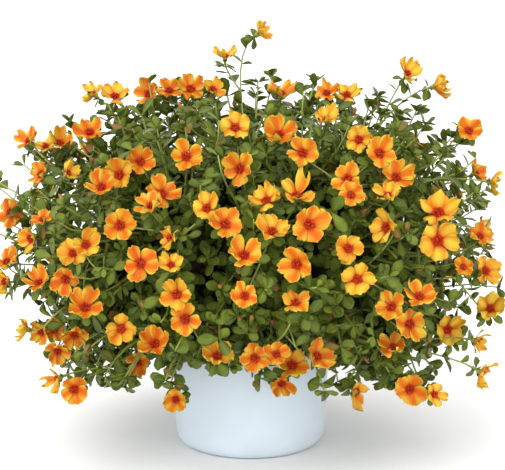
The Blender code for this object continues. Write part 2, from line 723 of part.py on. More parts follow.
def add_object(name, shape, look=None, collection=None):
    mesh = bpy.data.meshes.new(name)
    mesh.from_pydata([tuple(p) for p in shape[0]], [], shape[1])
    if look:
        mesh.materials.append(look)
    made = bpy.data.objects.new(name, mesh)
    (collection or bpy.context.scene.collection).objects.link(made)
    return made


def apply_modifiers(obj):
    graph = bpy.context.evaluated_depsgraph_get()
    mesh = bpy.data.meshes.new_from_object(obj.evaluated_get(graph))
    obj.modifiers.clear()
    obj.data = mesh


def fused(name, base, repeats, look):
    """One node: its repeats joined to their base in a single Boolean union."""
    made = add_object(name, base, look)
    if not repeats:
        return made
    group = bpy.data.collections.new(name + "_repeats")
    bpy.context.scene.collection.children.link(group)
    for k, shape in enumerate(repeats):
        add_object(f"{name}_repeat_{k}", shape, None, group)
    join = made.modifiers.new("join", "BOOLEAN")
    join.operation = "UNION"
    join.operand_type = "COLLECTION"
    join.collection = group
    join.solver = "MANIFOLD"
    apply_modifiers(made)
    for helper in list(group.objects):
        bpy.data.objects.remove(helper)
    bpy.data.collections.remove(group)
    return made


def turned(name, profile, sides, look):
    """A profile turned about Z by a Screw modifier, its first and last points on the axis."""
    mesh = bpy.data.meshes.new(name)
    mesh.from_pydata([(r, 0, z) for r, z in profile], [(k, k + 1) for k in range(len(profile) - 1)], [])
    made = bpy.data.objects.new(name, mesh)
    made.data.materials.append(look)
    bpy.context.scene.collection.objects.link(made)
    screw = made.modifiers.new("turn", "SCREW")
    screw.steps = screw.render_steps = sides
    screw.use_merge_vertices = True
    screw.merge_threshold = 0.00001
    screw.use_smooth_shade = False
    return made


def cut(obj, cutters):
    """Cuts upright prisms, each (x, y, radius, low, high, sides), from an object."""
    group = bpy.data.collections.new(obj.name + "_cutters")
    bpy.context.scene.collection.children.link(group)
    for k, (x, y, radius, low, high, sides) in enumerate(cutters):
        path = np.array([(x, y, low), (x, y, 0.5 * (low + high)), (x, y, high)])
        helper = add_object(f"{obj.name}_cutter_{k}", tube(path, [radius] * 3, sides), None, group)
        helper.display_type = "WIRE"
    hollow = obj.modifiers.new("holes", "BOOLEAN")
    hollow.operation = "DIFFERENCE"
    hollow.operand_type = "COLLECTION"
    hollow.collection = group
    apply_modifiers(obj)
    for helper in list(group.objects):
        bpy.data.objects.remove(helper)
    bpy.data.collections.remove(group)


def build_pot():
    pot = turned("pot", POT_PROFILE, POT_SIDES, material("pot white", POT_WHITE, 0.35))
    holes = []
    for k in range(DRAIN_COUNT):
        angle = 2 * math.pi * (k + 0.5) / DRAIN_COUNT
        x, y = DRAIN_CIRCLE * math.cos(angle), DRAIN_CIRCLE * math.sin(angle)
        holes.append((x, y, DRAIN_RADIUS, -0.01, 0.02, DRAIN_SIDES))
    cut(pot, holes)


def build_soil(holes):
    floor = POT_FLOOR + SOIL_GAP
    heel = POT_FOOT_ROUND + 0.002
    slope = (POT_RIM_RADIUS - POT_HEEL_RADIUS) / (POT_HEIGHT - heel)
    side = POT_HEEL_RADIUS - POT_WALL - SOIL_GAP
    profile = [(0, SOIL_TOP + SOIL_MOUND), (0.5 * side, SOIL_TOP + 0.7 * SOIL_MOUND),
               (side + slope * (SOIL_TOP - heel) - 0.0006, SOIL_TOP - 0.001),
               (side - 0.0003, heel), (POT_FOOT_RADIUS - 0.5 * POT_WALL - 2.2 * SOIL_GAP, floor), (0, floor)]
    soil = turned("soil", profile, POT_SIDES, material("soil brown", SOIL_BROWN, 0.95))
    radius, low, high = STEM_RADII[0] + HOLE_GAP, SOIL_TOP - HOLE_DEPTH, SOIL_TOP + 0.03
    cut(soil, [(x, y, radius, low, high, HOLE_SIDES) for x, y in holes])


def build_plant(plant):
    green = material("leaf green", GREEN, 0.45)
    orange = material("petal orange", ORANGE, 0.55)
    for k, path in enumerate(plant["stems"]):
        repeats = [leafy_shoot(root, whorls) for stem, root, whorls in plant["shoots"] if stem == k]
        repeats.append(plant["cores"][k])
        fused(f"leafy_stem_{k + 1:02d}", tube(path, STEM_RADII, STEM_SIDES), repeats, green)
    for k, stalks in enumerate(plant["sprays"]):
        flowers = []
        for member, path in stalks:
            widths = stalk_widths(not flowers)
            flowers.append(bloom(*plant["blooms"][member], path=path[-2::-1], widths=widths[-2::-1]))
        fused(f"bloom_spray_{k + 1:02d}", flowers[0], flowers[1:], orange)


def main():
    for obj in list(bpy.data.objects):
        bpy.data.objects.remove(obj)
    plant = lay_out()
    build_pot()
    build_soil(plant["holes"])
    build_plant(plant)


main()
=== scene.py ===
"""A potted portulaca in full bloom, at its real size, in metres, and the stage it stands on.

The plant is laid out again as its solids are: where each bloom, stalk, stem and leafy shoot stands. Then
each solid gets its fine form: smooth petals and stamens, fleshy leaves by the thousand on twigs that fill
the mound, a turned pot and crumbly soil. Each kind of piece has its own operator, and so has the stage.
"""

import functools
import json
import math

import bmesh
import bpy
import numpy as np
from bpy.props import FloatProperty, FloatVectorProperty, IntProperty, PointerProperty
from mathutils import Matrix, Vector
from mathutils.bvhtree import BVHTree

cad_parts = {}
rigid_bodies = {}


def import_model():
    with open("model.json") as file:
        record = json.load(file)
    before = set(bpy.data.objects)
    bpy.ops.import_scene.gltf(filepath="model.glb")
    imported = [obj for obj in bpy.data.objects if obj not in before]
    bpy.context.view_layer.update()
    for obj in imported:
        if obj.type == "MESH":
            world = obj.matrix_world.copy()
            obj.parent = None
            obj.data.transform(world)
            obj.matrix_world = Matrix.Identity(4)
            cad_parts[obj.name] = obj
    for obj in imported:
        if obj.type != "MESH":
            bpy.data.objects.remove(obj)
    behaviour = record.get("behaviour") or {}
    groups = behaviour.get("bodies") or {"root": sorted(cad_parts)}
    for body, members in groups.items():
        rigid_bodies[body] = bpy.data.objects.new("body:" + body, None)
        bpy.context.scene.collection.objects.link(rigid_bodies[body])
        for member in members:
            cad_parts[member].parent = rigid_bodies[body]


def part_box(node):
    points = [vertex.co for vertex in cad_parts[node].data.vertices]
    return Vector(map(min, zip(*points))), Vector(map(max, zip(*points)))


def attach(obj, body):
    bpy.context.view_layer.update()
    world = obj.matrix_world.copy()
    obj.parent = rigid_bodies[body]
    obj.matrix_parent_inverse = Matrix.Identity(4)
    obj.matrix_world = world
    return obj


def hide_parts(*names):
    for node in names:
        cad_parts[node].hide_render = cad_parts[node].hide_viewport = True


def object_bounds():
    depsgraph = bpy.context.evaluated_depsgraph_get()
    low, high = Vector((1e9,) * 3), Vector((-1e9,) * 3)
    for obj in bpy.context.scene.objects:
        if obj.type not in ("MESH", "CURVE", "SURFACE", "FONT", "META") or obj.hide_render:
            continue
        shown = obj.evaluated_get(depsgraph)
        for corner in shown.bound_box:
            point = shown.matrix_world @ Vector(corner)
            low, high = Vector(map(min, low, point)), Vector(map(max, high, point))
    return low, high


bl_info = {
    "name": "Potted portulaca",
    "version": (1, 0, 0),
    "blender": (4, 5, 0),
    "location": "View3D > Sidebar > Portulaca",
    "description": "Dresses a potted portulaca with petals, leaves, soil and a turned pot",
    "category": "Object",
}

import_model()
CAD_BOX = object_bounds()

# Leaves and petals stay this far inside the solids' box.
BOX_ROOM = 0.0008
BOX_LOW = np.array(CAD_BOX[0]) + BOX_ROOM
BOX_HIGH = np.array(CAD_BOX[1]) - BOX_ROOM

# The pot: a turned shell with a rounded foot, a plain lip and drainage holes.
POT_HEIGHT = 0.115
POT_RIM_RADIUS = 0.078
POT_HEEL_RADIUS = 0.0735
POT_FOOT_RADIUS = 0.063
POT_FOOT_ROUND = 0.013
POT_WALL = 0.0028
POT_FLOOR = 0.004
POT_LIP = 0.0014
POT_LIP_HEIGHT = 0.009
POT_SIDES = 32
DRAIN_COUNT = 5
DRAIN_RADIUS = 0.004
DRAIN_CIRCLE = 0.038

# The soil fills the pot to a little under its lip.
SOIL_TOP = 0.101
SOIL_MOUND = 0.004
HOLE_DEPTH = 0.013
HOLE_SPACING = 0.0135
HOLE_LEAN = 0.17
HOLE_ROUNDS = 200

# The mound of flowers: a dome that is deeper above its widest height than below it.
MOUND_CENTRE = np.array((0.0, 0.0, 0.190))
MOUND_RADII = np.array((0.240, 0.205, 0.160))
MOUND_SKIRT = 0.110

# Leafy stems, each with a core that reaches out to a share of the mound.
STEM_COUNT = 14
STEM_SIDES = 5
STEM_RADII = np.linspace(0.0026, 0.0016, 6)
STEM_FOOT_GAP = 0.001
CORE_PLACE = 0.5
CORE_REACH = 0.66
CORE_BACK = 0.6
CORE_GAP = 0.002
CORE_FLOOR = POT_HEIGHT + 0.010
CORE_ROUGH = 0.66
CORE_POINTS = 42
CORE_STEPS = np.linspace(0.0, 0.3, 151)
CORE_YIELD = 0.95

# Leafy shoots, with a whorl of leaves halfway and one at the tip.
SHOOT_COUNT = 62
SHOOT_RADII = np.array((0.0014, 0.0011, 0.0009))
SHOOT_REACH = 0.95
SHOOT_SUNK = 0.004
SHOOT_HEIGHTS = (-0.85, 0.96)
SHOOT_BESIDE_POT = 0.03
SHOOT_OVER_POT = 0.05
WHORL_SPOTS = (0.0, 0.48, 1.0)
WHORL_HALF = 0.001
WHORL_TURNS = (60, 30, -30, 0, 45, 15, -15)
LEAF_LENGTH = 0.019
LEAF_WIDTH = 0.0115
LEAF_THICKNESS = 0.0022
LEAF_SIZES = (0.85, 1.15)
LEAF_RISE = 0.12
LEAF_OUTLINE = ((0.55, -0.5), (1.0, -0.22), (1.0, 0.22), (0.55, 0.5))
LEAF_MIDDLE = 0.58
LEAF_DROOP = 0.10
LEAF_LIFTS = (0.2, 0.45, 0.7, 1.0)

# Blooms. A petal's rim is (share of its sector, share of the radius, height in the cup).
PETALS = 5
PETAL_RIM = ((-0.5, 0.56, 0.50), (-0.27, 0.98, 1.0), (0.27, 0.98, 1.0))
CUP_SHARE = 0.42
CALYX_DEPTH = 0.0042
CALYX_RADIUS = 0.0015
CALYX_TURN = math.radians(12)
BACK_BLOOMS = 50
BACK_BLOOM_RADIUS = 0.0170
BACK_START = 0.03
BACK_SCATTER = 0.006
BACK_HEIGHTS = (-0.80, 0.97)
BACK_SIZES = (0.88, 1.08)
BACK_RISE = 0.35
BACK_SWAY = 0.22
BLOOM_SPACING = 0.036

# Sprays of flower stalks: a main stalk each, and the others branch off it.
SPRAY_COUNT = 42
SPRAY_GAP = 0.0024
SHARE_ROUNDS = 12
STALK_RADIUS = 0.0009
STALK_RINGS = 3
STALK_STUB = 0.010
MAIN_ROOT = 1.25
BRANCH_ROOT = 0.55
BRANCH_LOW = 0.12
BRANCH_SPAN = 0.62
BRANCH_SHIFT = 0.37

# The search for room: the clearance, the steps of a moved bloom and the bows of a moved curve.
GAP = 0.0005
TEST_GAP = 0.6 * GAP
TEST_SIDES = 6
BLOOM_TRIES = 30
BLOOM_STEP = 0.0022
CURVE_TRIES = 40
BOW_STEP = 0.001
BRANCH_TRIES = 12
SEED = 7

# Where the viewer of the photograph stands, and how its pixels lie round the line of sight.
EYE = np.array((0.0, -1.664, 0.541))
AIM = np.array((0.002, 0.0, 0.2055))
PICTURE_MIDDLE = (252.5, 235.0)
PIXELS_PER_TANGENT = 1750.0
PICTURE_WIDTH = 505
SENSOR = 36.0
LENS = PIXELS_PER_TANGENT * SENSOR / PICTURE_WIDTH
FARTHEST_FRONT_Y = 0.06
SIGHT_STEPS = np.arange(1.2, 2.0, 0.002)
POT_CLEARANCE = 0.034
LOW_HEIGHT = POT_HEIGHT + 0.02

# The blooms that the photograph shows: the pixel of the middle of each, the way it faces in degrees
# (turn to the viewer's right, then tilt above the horizon) and its radius in millimetres.
FRONT_BLOOMS = (
    (115, 92, 5, 60, 17), (90, 92, -60, 35, 14), (146, 92, -30, 25, 16), (169, 87, 10, 50, 16),
    (89, 129, 0, 45, 17), (61, 140, 25, 50, 15), (26, 138, -45, 45, 15), (45, 143, -10, 60, 13),
    (263, 31, 62, 32, 16), (225, 52, 0, 78, 15), (191, 86, 10, 38, 17), (214, 86, 25, 55, 14),
    (281, 89, 8, 68, 18), (326, 90, -15, 48, 15), (347, 91, 5, 58, 16), (327, 116, 0, 60, 14),
    (235, 125, 0, 34, 18), (279, 132, 0, 38, 18), (304, 152, 12, 20, 17), (186, 155, 0, 24, 17),
    (238, 168, -16, 16, 18), (410, 71, 40, 45, 15), (440, 86, 68, 12, 16), (470, 129, 8, 30, 16),
    (358, 138, -10, 28, 16), (382, 151, 22, 28, 18), (37, 174, -48, 8, 15), (70, 171, 55, 40, 12),
    (141, 160, 12, 25, 16), (118, 174, -10, 20, 17), (101, 184, 0, 46, 16), (8, 212, -15, 15, 17),
    (27, 239, -42, 8, 15), (41, 217, -20, 50, 12), (120, 225, 6, 14, 18), (163, 191, 15, 35, 18),
    (149, 202, -25, 55, 16), (140, 263, 2, 15, 18), (166, 238, -62, 5, 14), (171, 262, 0, 52, 13),
    (72, 251, -12, 30, 17), (87, 243, 22, 30, 16), (5, 258, -20, 58, 15), (1, 282, -40, 10, 16),
    (37, 279, -30, 58, 15), (65, 281, 0, -8, 16), (85, 305, 5, 40, 18), (206, 206, -6, 34, 16),
    (226, 223, 6, 25, 17), (265, 197, -22, 48, 16), (297, 191, 12, 64, 17), (273, 228, 6, 50, 18),
    (312, 224, 20, 12, 20), (245, 252, 12, 44, 18), (295, 264, -20, 12, 18), (245, 295, 2, 25, 17),
    (296, 299, 5, 55, 17), (176, 294, -8, 18, 17), (347, 177, -6, 28, 17), (351, 194, -5, 22, 14),
    (398, 175, 18, 32, 17), (387, 192, -22, 58, 14), (439, 209, 2, 42, 21), (439, 241, 5, 10, 21),
    (382, 227, -48, 12, 17), (349, 248, 4, 15, 17), (358, 279, 2, 16, 17), (479, 171, 62, 30, 15),
    (496, 183, 80, -8, 14), (481, 234, 4, 38, 14), (464, 266, 2, 28, 11), (489, 271, 35, 12, 17),
    (420, 292, 4, 62, 18), (389, 305, -32, 30, 17), (491, 306, 0, 45, 18), (121, 329, 2, 10, 17),
    (154, 342, -5, 32, 18), (138, 364, 0, -6, 14), (38, 333, -32, 0, 14), (54, 330, 10, 10, 14),
    (75, 337, 12, -10, 15), (22, 329, -78, 10, 13), (57, 354, 0, -20, 14), (54, 380, -60, -15, 14),
    (74, 391, 5, 0, 17), (175, 401, -10, 0, 14), (217, 353, 0, 50, 17), (255, 359, 2, 10, 17),
    (292, 362, 0, 44, 18), (277, 353, 10, 32, 14), (320, 354, 38, 34, 17), (282, 386, 5, -12, 14),
    (185, 320, 0, 8, 17), (413, 325, 26, 6, 18), (450, 329, 20, 20, 17), (480, 342, 60, -8, 14),
    (486, 375, 58, -22, 16), (392, 344, -28, 55, 15), (410, 391, 0, 2, 18), (436, 394, 22, 20, 13),
    (359, 394, 42, -14, 15),
)

UP = np.array((0.0, 0.0, 1.0))


def unit(v):
    return v / np.linalg.norm(v)


def squared(v, axis):
    """The part of a vector that is square to an axis, one unit long."""
    return unit(v - axis * np.dot(v, axis))


def nearest(points, middles):
    """Which of the middles is nearest to each point."""
    return np.argmin(np.linalg.norm(points[:, None] - middles, axis=2), axis=1)


def group_means(points, groups, count):
    """The middle of the points of each of count groups."""
    return np.array([points[groups == k].mean(axis=0) for k in range(count)])


def cubic(points, t):
    """The cubic curve of four control points at t: the sum of the points weighted by the cubic's terms."""
    a, b, c, d = points
    return (1 - t) ** 3 * a + 3 * t * (1 - t) ** 2 * b + 3 * t**2 * (1 - t) * c + t**3 * d


def bezier(points, count):
    """The cubic curve of four control points: as many points as count says, or one at each spot in it."""
    spots = np.linspace(0.0, 1.0, count) if isinstance(count, int) else np.array(count)
    return cubic(points, spots[:, None])


def facing(turn, tilt):
    """The direction that a bloom faces, turned to the right of -Y and tilted above the horizon."""
    turn, tilt = math.radians(turn), math.radians(tilt)
    return np.array((
        math.sin(turn) * math.cos(tilt), -math.cos(turn) * math.cos(tilt), math.sin(tilt)
    ))


def full_turn(sides):
    """The angles of so many sides, all round."""
    return np.arange(sides) * 2 * math.pi / sides


def swung(first, second, angle):
    """The direction at an angle from the first direction towards the second, square to it."""
    return first * math.cos(angle) + second * math.sin(angle)


def side_frame(axis):
    """Two unit vectors square to the axis and to each other."""
    away = UP if abs(axis[2]) < 0.9 else np.array((0.0, 1.0, 0.0))
    across = unit(np.cross(away, axis))
    return across, np.cross(axis, across)


def tube(path, radii, sides):
    """A closed tube along a path: a ring square to the path at each point, and a flat end cap."""
    tangents = np.gradient(path, axis=0)
    across, _ = side_frame(unit(tangents[0]))
    angles = full_turn(sides)
    rings = []
    for point, tangent, radius in zip(path, tangents, radii):
        tangent = unit(tangent)
        across = squared(across, tangent)
        upward = np.cross(tangent, across)
        rings.append(point + radius * (np.outer(np.cos(angles), across) + np.outer(np.sin(angles), upward)))
    faces = [tuple(range(sides))[::-1]]
    for ring in range(len(path) - 1):
        low = ring * sides
        for k in range(sides):
            nxt = (k + 1) % sides
            faces.append((low + k, low + nxt, low + sides + nxt, low + sides + k))
    last = (len(path) - 1) * sides
    faces.append(tuple(last + k for k in range(sides)))
    return np.concatenate(rings), faces


def leaf_points(root, along, face, length, width, pad=0.0):
    """A leaf's points: four round its blunt outline, side to side, then its top and its back.

    The blade is widest past its middle, raised along its middle, and droops towards its end.
    """
    face = squared(face, along)
    across = np.cross(face, along)
    points = []
    for share, side in LEAF_OUTLINE:
        droop = face * (LEAF_DROOP * length * share**2)
        reach = along * (share * length + (pad if share == 1.0 else 0.0))
        points.append(root + reach + across * (side * width + math.copysign(pad, side)) - droop)
    middle = root + along * (LEAF_MIDDLE * length) - face * (LEAF_DROOP * length * LEAF_MIDDLE**2)
    points.append(middle + face * (0.5 * LEAF_THICKNESS + pad))
    points.append(middle - face * (0.5 * LEAF_THICKNESS + pad))
    return points


def three_round(centre, tangent, outward, radius):
    """Three points round a shoot or a stalk, the first of them outward."""
    beside = np.cross(tangent, outward)
    angles = 2 * math.pi * np.arange(3) / 3
    return centre + radius * (np.outer(np.cos(angles), outward) + np.outer(np.sin(angles), beside))


def leaf_alone(centre, tangent, outward, side, shape, pad=0.0):
    """A leaf of a whorl as a closed shape of its own, to see what it would cross."""
    low = three_round(centre - tangent * WHORL_HALF, tangent, outward, SHOOT_RADII[1] + pad)
    high = three_round(centre + tangent * WHORL_HALF, tangent, outward, SHOOT_RADII[2] + pad)
    nxt = (side + 1) % 3
    points = [low[side], low[nxt], high[nxt], high[side], *leaf_points(*shape, pad)]
    return np.array(points), [*leaf_faces((0, 1, 2, 3), 4), (3, 2, 1, 0)]


def leaf_faces(side, first):
    """The faces that join a side of the shoot (low, next low, next high, high) to a leaf's points."""
    low, next_low, next_high, high = side
    edge = [high, first, first + 1, first + 2, first + 3, next_high]
    over, under = first + 4, first + 5
    faces = [(low, first, high), (next_low, next_high, first + 3), (high, over, next_high)]
    faces.append((low, next_low, under))
    faces += [(a, b, over) for a, b in zip(edge, edge[1:])]
    edge[0], edge[-1] = low, next_low
    return faces + [(b, a, under) for a, b in zip(edge, edge[1:])]


def bloom(middle, axis, radius, spin, pad=0.0, path=(), widths=()):
    """Five petals in one cupped blade on a calyx, which runs on into a three-sided stalk along the path.

    The rim is lobed, with a dip between petals, and goes in to the cup's floor above and to a ring of
    three points below. The path is the stalk's, from just under the calyx to its root, with its radii.
    """
    across, upward = side_frame(axis)
    sector = 2 * math.pi / PETALS
    floor_depth = CUP_SHARE * radius
    rim = []
    for k in range(PETALS):
        for share, reach, height in PETAL_RIM:
            angle = spin + (k + share) * sector
            outward = swung(across, upward, angle)
            rim.append(middle + outward * (radius * reach + pad) - axis * floor_depth * (1 - height))
    count = len(rim)
    calyx = middle - axis * (floor_depth + CALYX_DEPTH + pad)
    points = [*rim, middle - axis * (floor_depth - pad)]
    tangents = [-axis, *[unit(b - a) for a, b in zip([calyx, *path[:-1]], path)]]
    outward = swung(across, upward, spin + CALYX_TURN)
    for place, tangent, width in zip([calyx, *path], tangents, [CALYX_RADIUS, *widths]):
        outward = squared(outward, tangent)
        points.extend(three_round(place, -tangent, outward, width + pad))
    faces = []
    for k in range(count):
        here, there = count + 1 + 3 * k // count, count + 1 + 3 * ((k + 1) % count) // count
        faces.append((k, (k + 1) % count, count))
        faces.append(((k + 1) % count, k, here))
        if here != there:
            faces.append(((k + 1) % count, here, there))
    for ring in range(len(path)):
        low = count + 1 + 3 * ring
        for k in range(3):
            nxt = (k + 1) % 3
            faces.append((low + nxt, low + k, low + 3 + k, low + 3 + nxt))
    last = count + 1 + 3 * len(path)
    faces.append((last + 2, last + 1, last))
    return np.array(points), faces


def tree_of(shape):
    """The shape's faces in a tree that finds what crosses them."""
    points, faces = shape
    return BVHTree.FromPolygons([Vector(p) for p in points], faces)


class Room:
    """What stands where: each shape placed so far, with its node, so that no two nodes cross."""

    def __init__(self):
        self.trees, self.owners, self.lows, self.highs = [], [], [], []

    def add(self, shape, owner):
        self.trees.append(tree_of(shape))
        self.owners.append(owner)
        self.lows.append(shape[0].min(axis=0))
        self.highs.append(shape[0].max(axis=0))

    def crossed(self, shape, ignore=()):
        """Whether the shape crosses one that belongs to an owner outside ignore."""
        low, high = shape[0].min(axis=0), shape[0].max(axis=0)
        lows, highs = np.array(self.lows).reshape(-1, 3), np.array(self.highs).reshape(-1, 3)
        near = (lows <= high).all(axis=1) & (highs >= low).all(axis=1)
        tree = None
        for index in np.flatnonzero(near):
            if self.owners[index] in ignore:
                continue
            tree = tree or tree_of(shape)
            if tree.overlap(self.trees[index]):
                return True
        return False


def mound_radii(heights):
    """The mound's three radii for each height over its middle: it is shallower below than above."""
    radii = np.tile(MOUND_RADII, (len(heights), 1))
    radii[heights < 0, 2] = MOUND_SKIRT
    return radii


def mound_measure(points):
    """How far out in the mound each point is: 1 on its surface, and less inside it."""
    offset = points - MOUND_CENTRE
    return np.linalg.norm(offset / mound_radii(offset[:, 2]), axis=1)


def mound_points(count, low, high):
    """Points spread evenly over the mound in a sunflower spiral, between two heights of a unit ball."""
    rise = low + (high - low) * (np.arange(count) + 0.5) / count
    turn = np.arange(count) * math.pi * (3 - math.sqrt(5))
    level = np.sqrt(1 - rise**2)
    ball = np.stack((level * np.cos(turn), level * np.sin(turn), rise), axis=1)
    return MOUND_CENTRE + ball * mound_radii(rise)


def outward_at(point):
    """The direction square to the mound's surface at a point."""
    offset = point - MOUND_CENTRE
    return unit(offset / mound_radii(offset[2:])[0] ** 2)


def sight_line(pixel):
    """The direction from the viewer's eye through a pixel of the photograph, 1 long along the view."""
    ahead = unit(AIM - EYE)
    right = unit(np.cross(ahead, UP))
    over = np.cross(right, ahead)
    across = (pixel[0] - PICTURE_MIDDLE[0]) / PIXELS_PER_TANGENT
    down = (pixel[1] - PICTURE_MIDDLE[1]) / PIXELS_PER_TANGENT
    return ahead + right * across - over * down


def front_place(pixel):
    """Where a line of sight first meets the mound, or passes nearest to it, clear of the pot."""
    line = sight_line(pixel)
    points = EYE + SIGHT_STEPS[:, None] * line
    measure = mound_measure(points)
    from_axis = np.hypot(points[:, 0], points[:, 1])
    by_pot = (points[:, 2] < LOW_HEIGHT) & (from_axis < POT_RIM_RADIUS + POT_CLEARANCE)
    measure[by_pot | (points[:, 1] > FARTHEST_FRONT_Y)] = np.inf
    inside = np.flatnonzero(measure <= 1.0)
    return points[inside[0] if len(inside) else np.argmin(measure)]


def share_out(points, count):
    """Which of count groups each point is in: seeds as far apart as can be, then the nearest middle."""
    middles = [points[0]]
    while len(middles) < count:
        gaps = np.min([np.linalg.norm(points - m, axis=1) for m in middles], axis=0)
        middles.append(points[np.argmax(gaps)])
    middles = np.array(middles)
    for _ in range(SHARE_ROUNDS):
        groups = nearest(points, middles)
        middles = group_means(points, groups, count)
    return groups


def front_blooms():
    """The blooms of the photograph as (middle, axis, radius, the way to push one to find it room)."""
    return [(front_place((x, y)), facing(turn, tilt), radius * 0.001, unit(sight_line((x, y))))
            for x, y, turn, tilt, radius in FRONT_BLOOMS]


def back_blooms(taken, draw):
    """The blooms of the far side, in the same form: a spiral over the mound, scattered and kept apart."""
    found = []
    spiral = mound_points(3 * BACK_BLOOMS, *BACK_HEIGHTS)
    for point in spiral[spiral[:, 1] > BACK_START]:
        point = point + draw.normal(0, BACK_SCATTER, 3)
        if len(found) == BACK_BLOOMS:
            break
        if np.linalg.norm(np.array(taken) - point, axis=1).min() < BLOOM_SPACING:
            continue
        outward = outward_at(point)
        axis = unit(outward + UP * BACK_RISE + draw.normal(0, BACK_SWAY, 3))
        found.append((point, axis, BACK_BLOOM_RADIUS * draw.uniform(*BACK_SIZES), -outward))
        taken.append(point)
    return found


def place_blooms(room, draw):
    """Every bloom as (middle, axis, radius, spin), pushed in or out until it and its stub are clear."""
    wanted = front_blooms()
    wanted += back_blooms([place for place, *_ in wanted], draw)
    blooms = []
    for place, axis, radius, push in wanted:
        spin = draw.uniform(0, 2 * math.pi)
        for attempt in range(BLOOM_TRIES):
            step = BLOOM_STEP * ((attempt + 1) // 2) * (1 if attempt % 2 else -1)
            middle = place + push * step
            stub = middle - axis * (CUP_SHARE * radius + CALYX_DEPTH + STALK_STUB)
            if not room.crossed(bloom(middle, axis, radius, spin, GAP, [stub], [STALK_RADIUS])):
                break
        else:
            raise RuntimeError(f"no room for bloom {len(blooms)}")
        room.add(bloom(middle, axis, radius, spin, 0.0, [stub], [STALK_RADIUS]), f"bloom {len(blooms)}")
        blooms.append((middle, axis, radius, spin))
    return blooms


def stem_holes(targets):
    """The middle of each stem's hole in the soil: towards what the stem carries, then spread apart."""
    holes = targets[:, :2] * HOLE_LEAN
    for _ in range(HOLE_ROUNDS):
        gaps = holes[:, None] - holes
        far = np.linalg.norm(gaps, axis=2) + np.eye(len(holes))
        close = np.clip(HOLE_SPACING - far, 0, None) * (1 - np.eye(len(holes)))
        holes = holes + 0.5 * (gaps * (close / far)[:, :, None]).sum(axis=1)
    return holes


def stem_path(room, draw, hole, centre):
    """A leafy stem's path: straight up out of its hole, then over the pot's lip and into its core."""
    foot = np.array((*hole, SOIL_TOP - HOLE_DEPTH + STEM_FOOT_GAP))
    surface = np.array((*hole, SOIL_TOP + SOIL_MOUND + STEM_FOOT_GAP))
    rise = centre[2] - surface[2]
    control = (surface, surface + UP * 0.5 * rise, centre * 0.7 + surface * 0.3 + UP * 0.25 * rise, centre)
    path = curve_clear(room, STEM_RADII[1:], STEM_SIDES, len(STEM_RADII) - 1, control, draw, ())
    if path is None:
        raise RuntimeError("no room for a stem")
    return np.vstack((foot, path))


def ball():
    """A round ball of 80 triangles, as (directions, faces)."""
    mesh = bmesh.new()
    bmesh.ops.create_icosphere(mesh, subdivisions=2, radius=1.0)
    directions = np.array([v.co for v in mesh.verts])
    faces = [tuple(v.index for v in face.verts) for face in mesh.faces]
    mesh.free()
    return directions, faces


def core(k, centres, roughness):
    """The dense middle of a leafy stem, where its leaves are packed tight; the outer ones stand out of it.

    It is a rough ball, drawn in to stay on its own side of the planes halfway to the other stems' cores,
    inside a smaller mound, above the pot and out of the mound's very middle.
    """
    directions, faces = ball()
    centre = centres[k]
    others = np.delete(centres, k, axis=0) - centre
    planes = [(unit(other), 0.5 * np.linalg.norm(other) - CORE_GAP) for other in others]
    planes.append((unit(MOUND_CENTRE - centre), CORE_BACK * np.linalg.norm(MOUND_CENTRE - centre)))
    planes.append((-UP, centre[2] - CORE_FLOOR))
    reaches = []
    for direction, rough in zip(directions, roughness):
        inside = mound_measure(centre + CORE_STEPS[:, None] * direction) <= CORE_REACH
        reach = CORE_STEPS[inside].max()
        for normal, distance in planes:
            toward = np.dot(direction, normal)
            if toward > 0.01:
                reach = min(reach, distance / toward)
        reaches.append(reach * rough)
    return centre + directions * np.array(reaches)[:, None], faces


def place_cores(room, plant, draw, centres):
    """A core for each stem, shrunk about its centre until no other stem passes through it."""
    for k in range(STEM_COUNT):
        shape = core(k, centres, draw.uniform(CORE_ROUGH, 1.0, CORE_POINTS))
        while room.crossed(shape, (f"stem {k}",)):
            shape = (centres[k] + CORE_YIELD * (shape[0] - centres[k]), shape[1])
        room.add(shape, f"stem {k}")
        plant["cores"].append(shape)


def on_core(shape, centre, toward):
    """Where the line from a core's centre towards a point leaves the core, and that line's direction."""
    direction = unit(toward - centre)
    place, *_ = tree_of(shape).ray_cast(Vector(centre), Vector(direction))
    return np.array(place), direction


def curve_clear(room, radii, sides, count, control, draw, ignore, beyond=0.0):
    """The first of many bowed curves whose tube crosses nothing, each bowed a little more, or None.

    The tube is tested with its end drawn out beyond the curve's own end.
    """
    start, leave, arrive, end = control
    for attempt in range(CURVE_TRIES):
        bow = draw.normal(0, BOW_STEP * attempt, 3)
        path = bezier((start, leave + bow, arrive + bow * 0.6, end), count)
        tested = np.vstack((path[:-1], path[-1] + beyond * unit(path[-1] - path[-2])))
        if not room.crossed(tube(tested, np.asarray(radii) + TEST_GAP, sides), ignore):
            return path
    return None


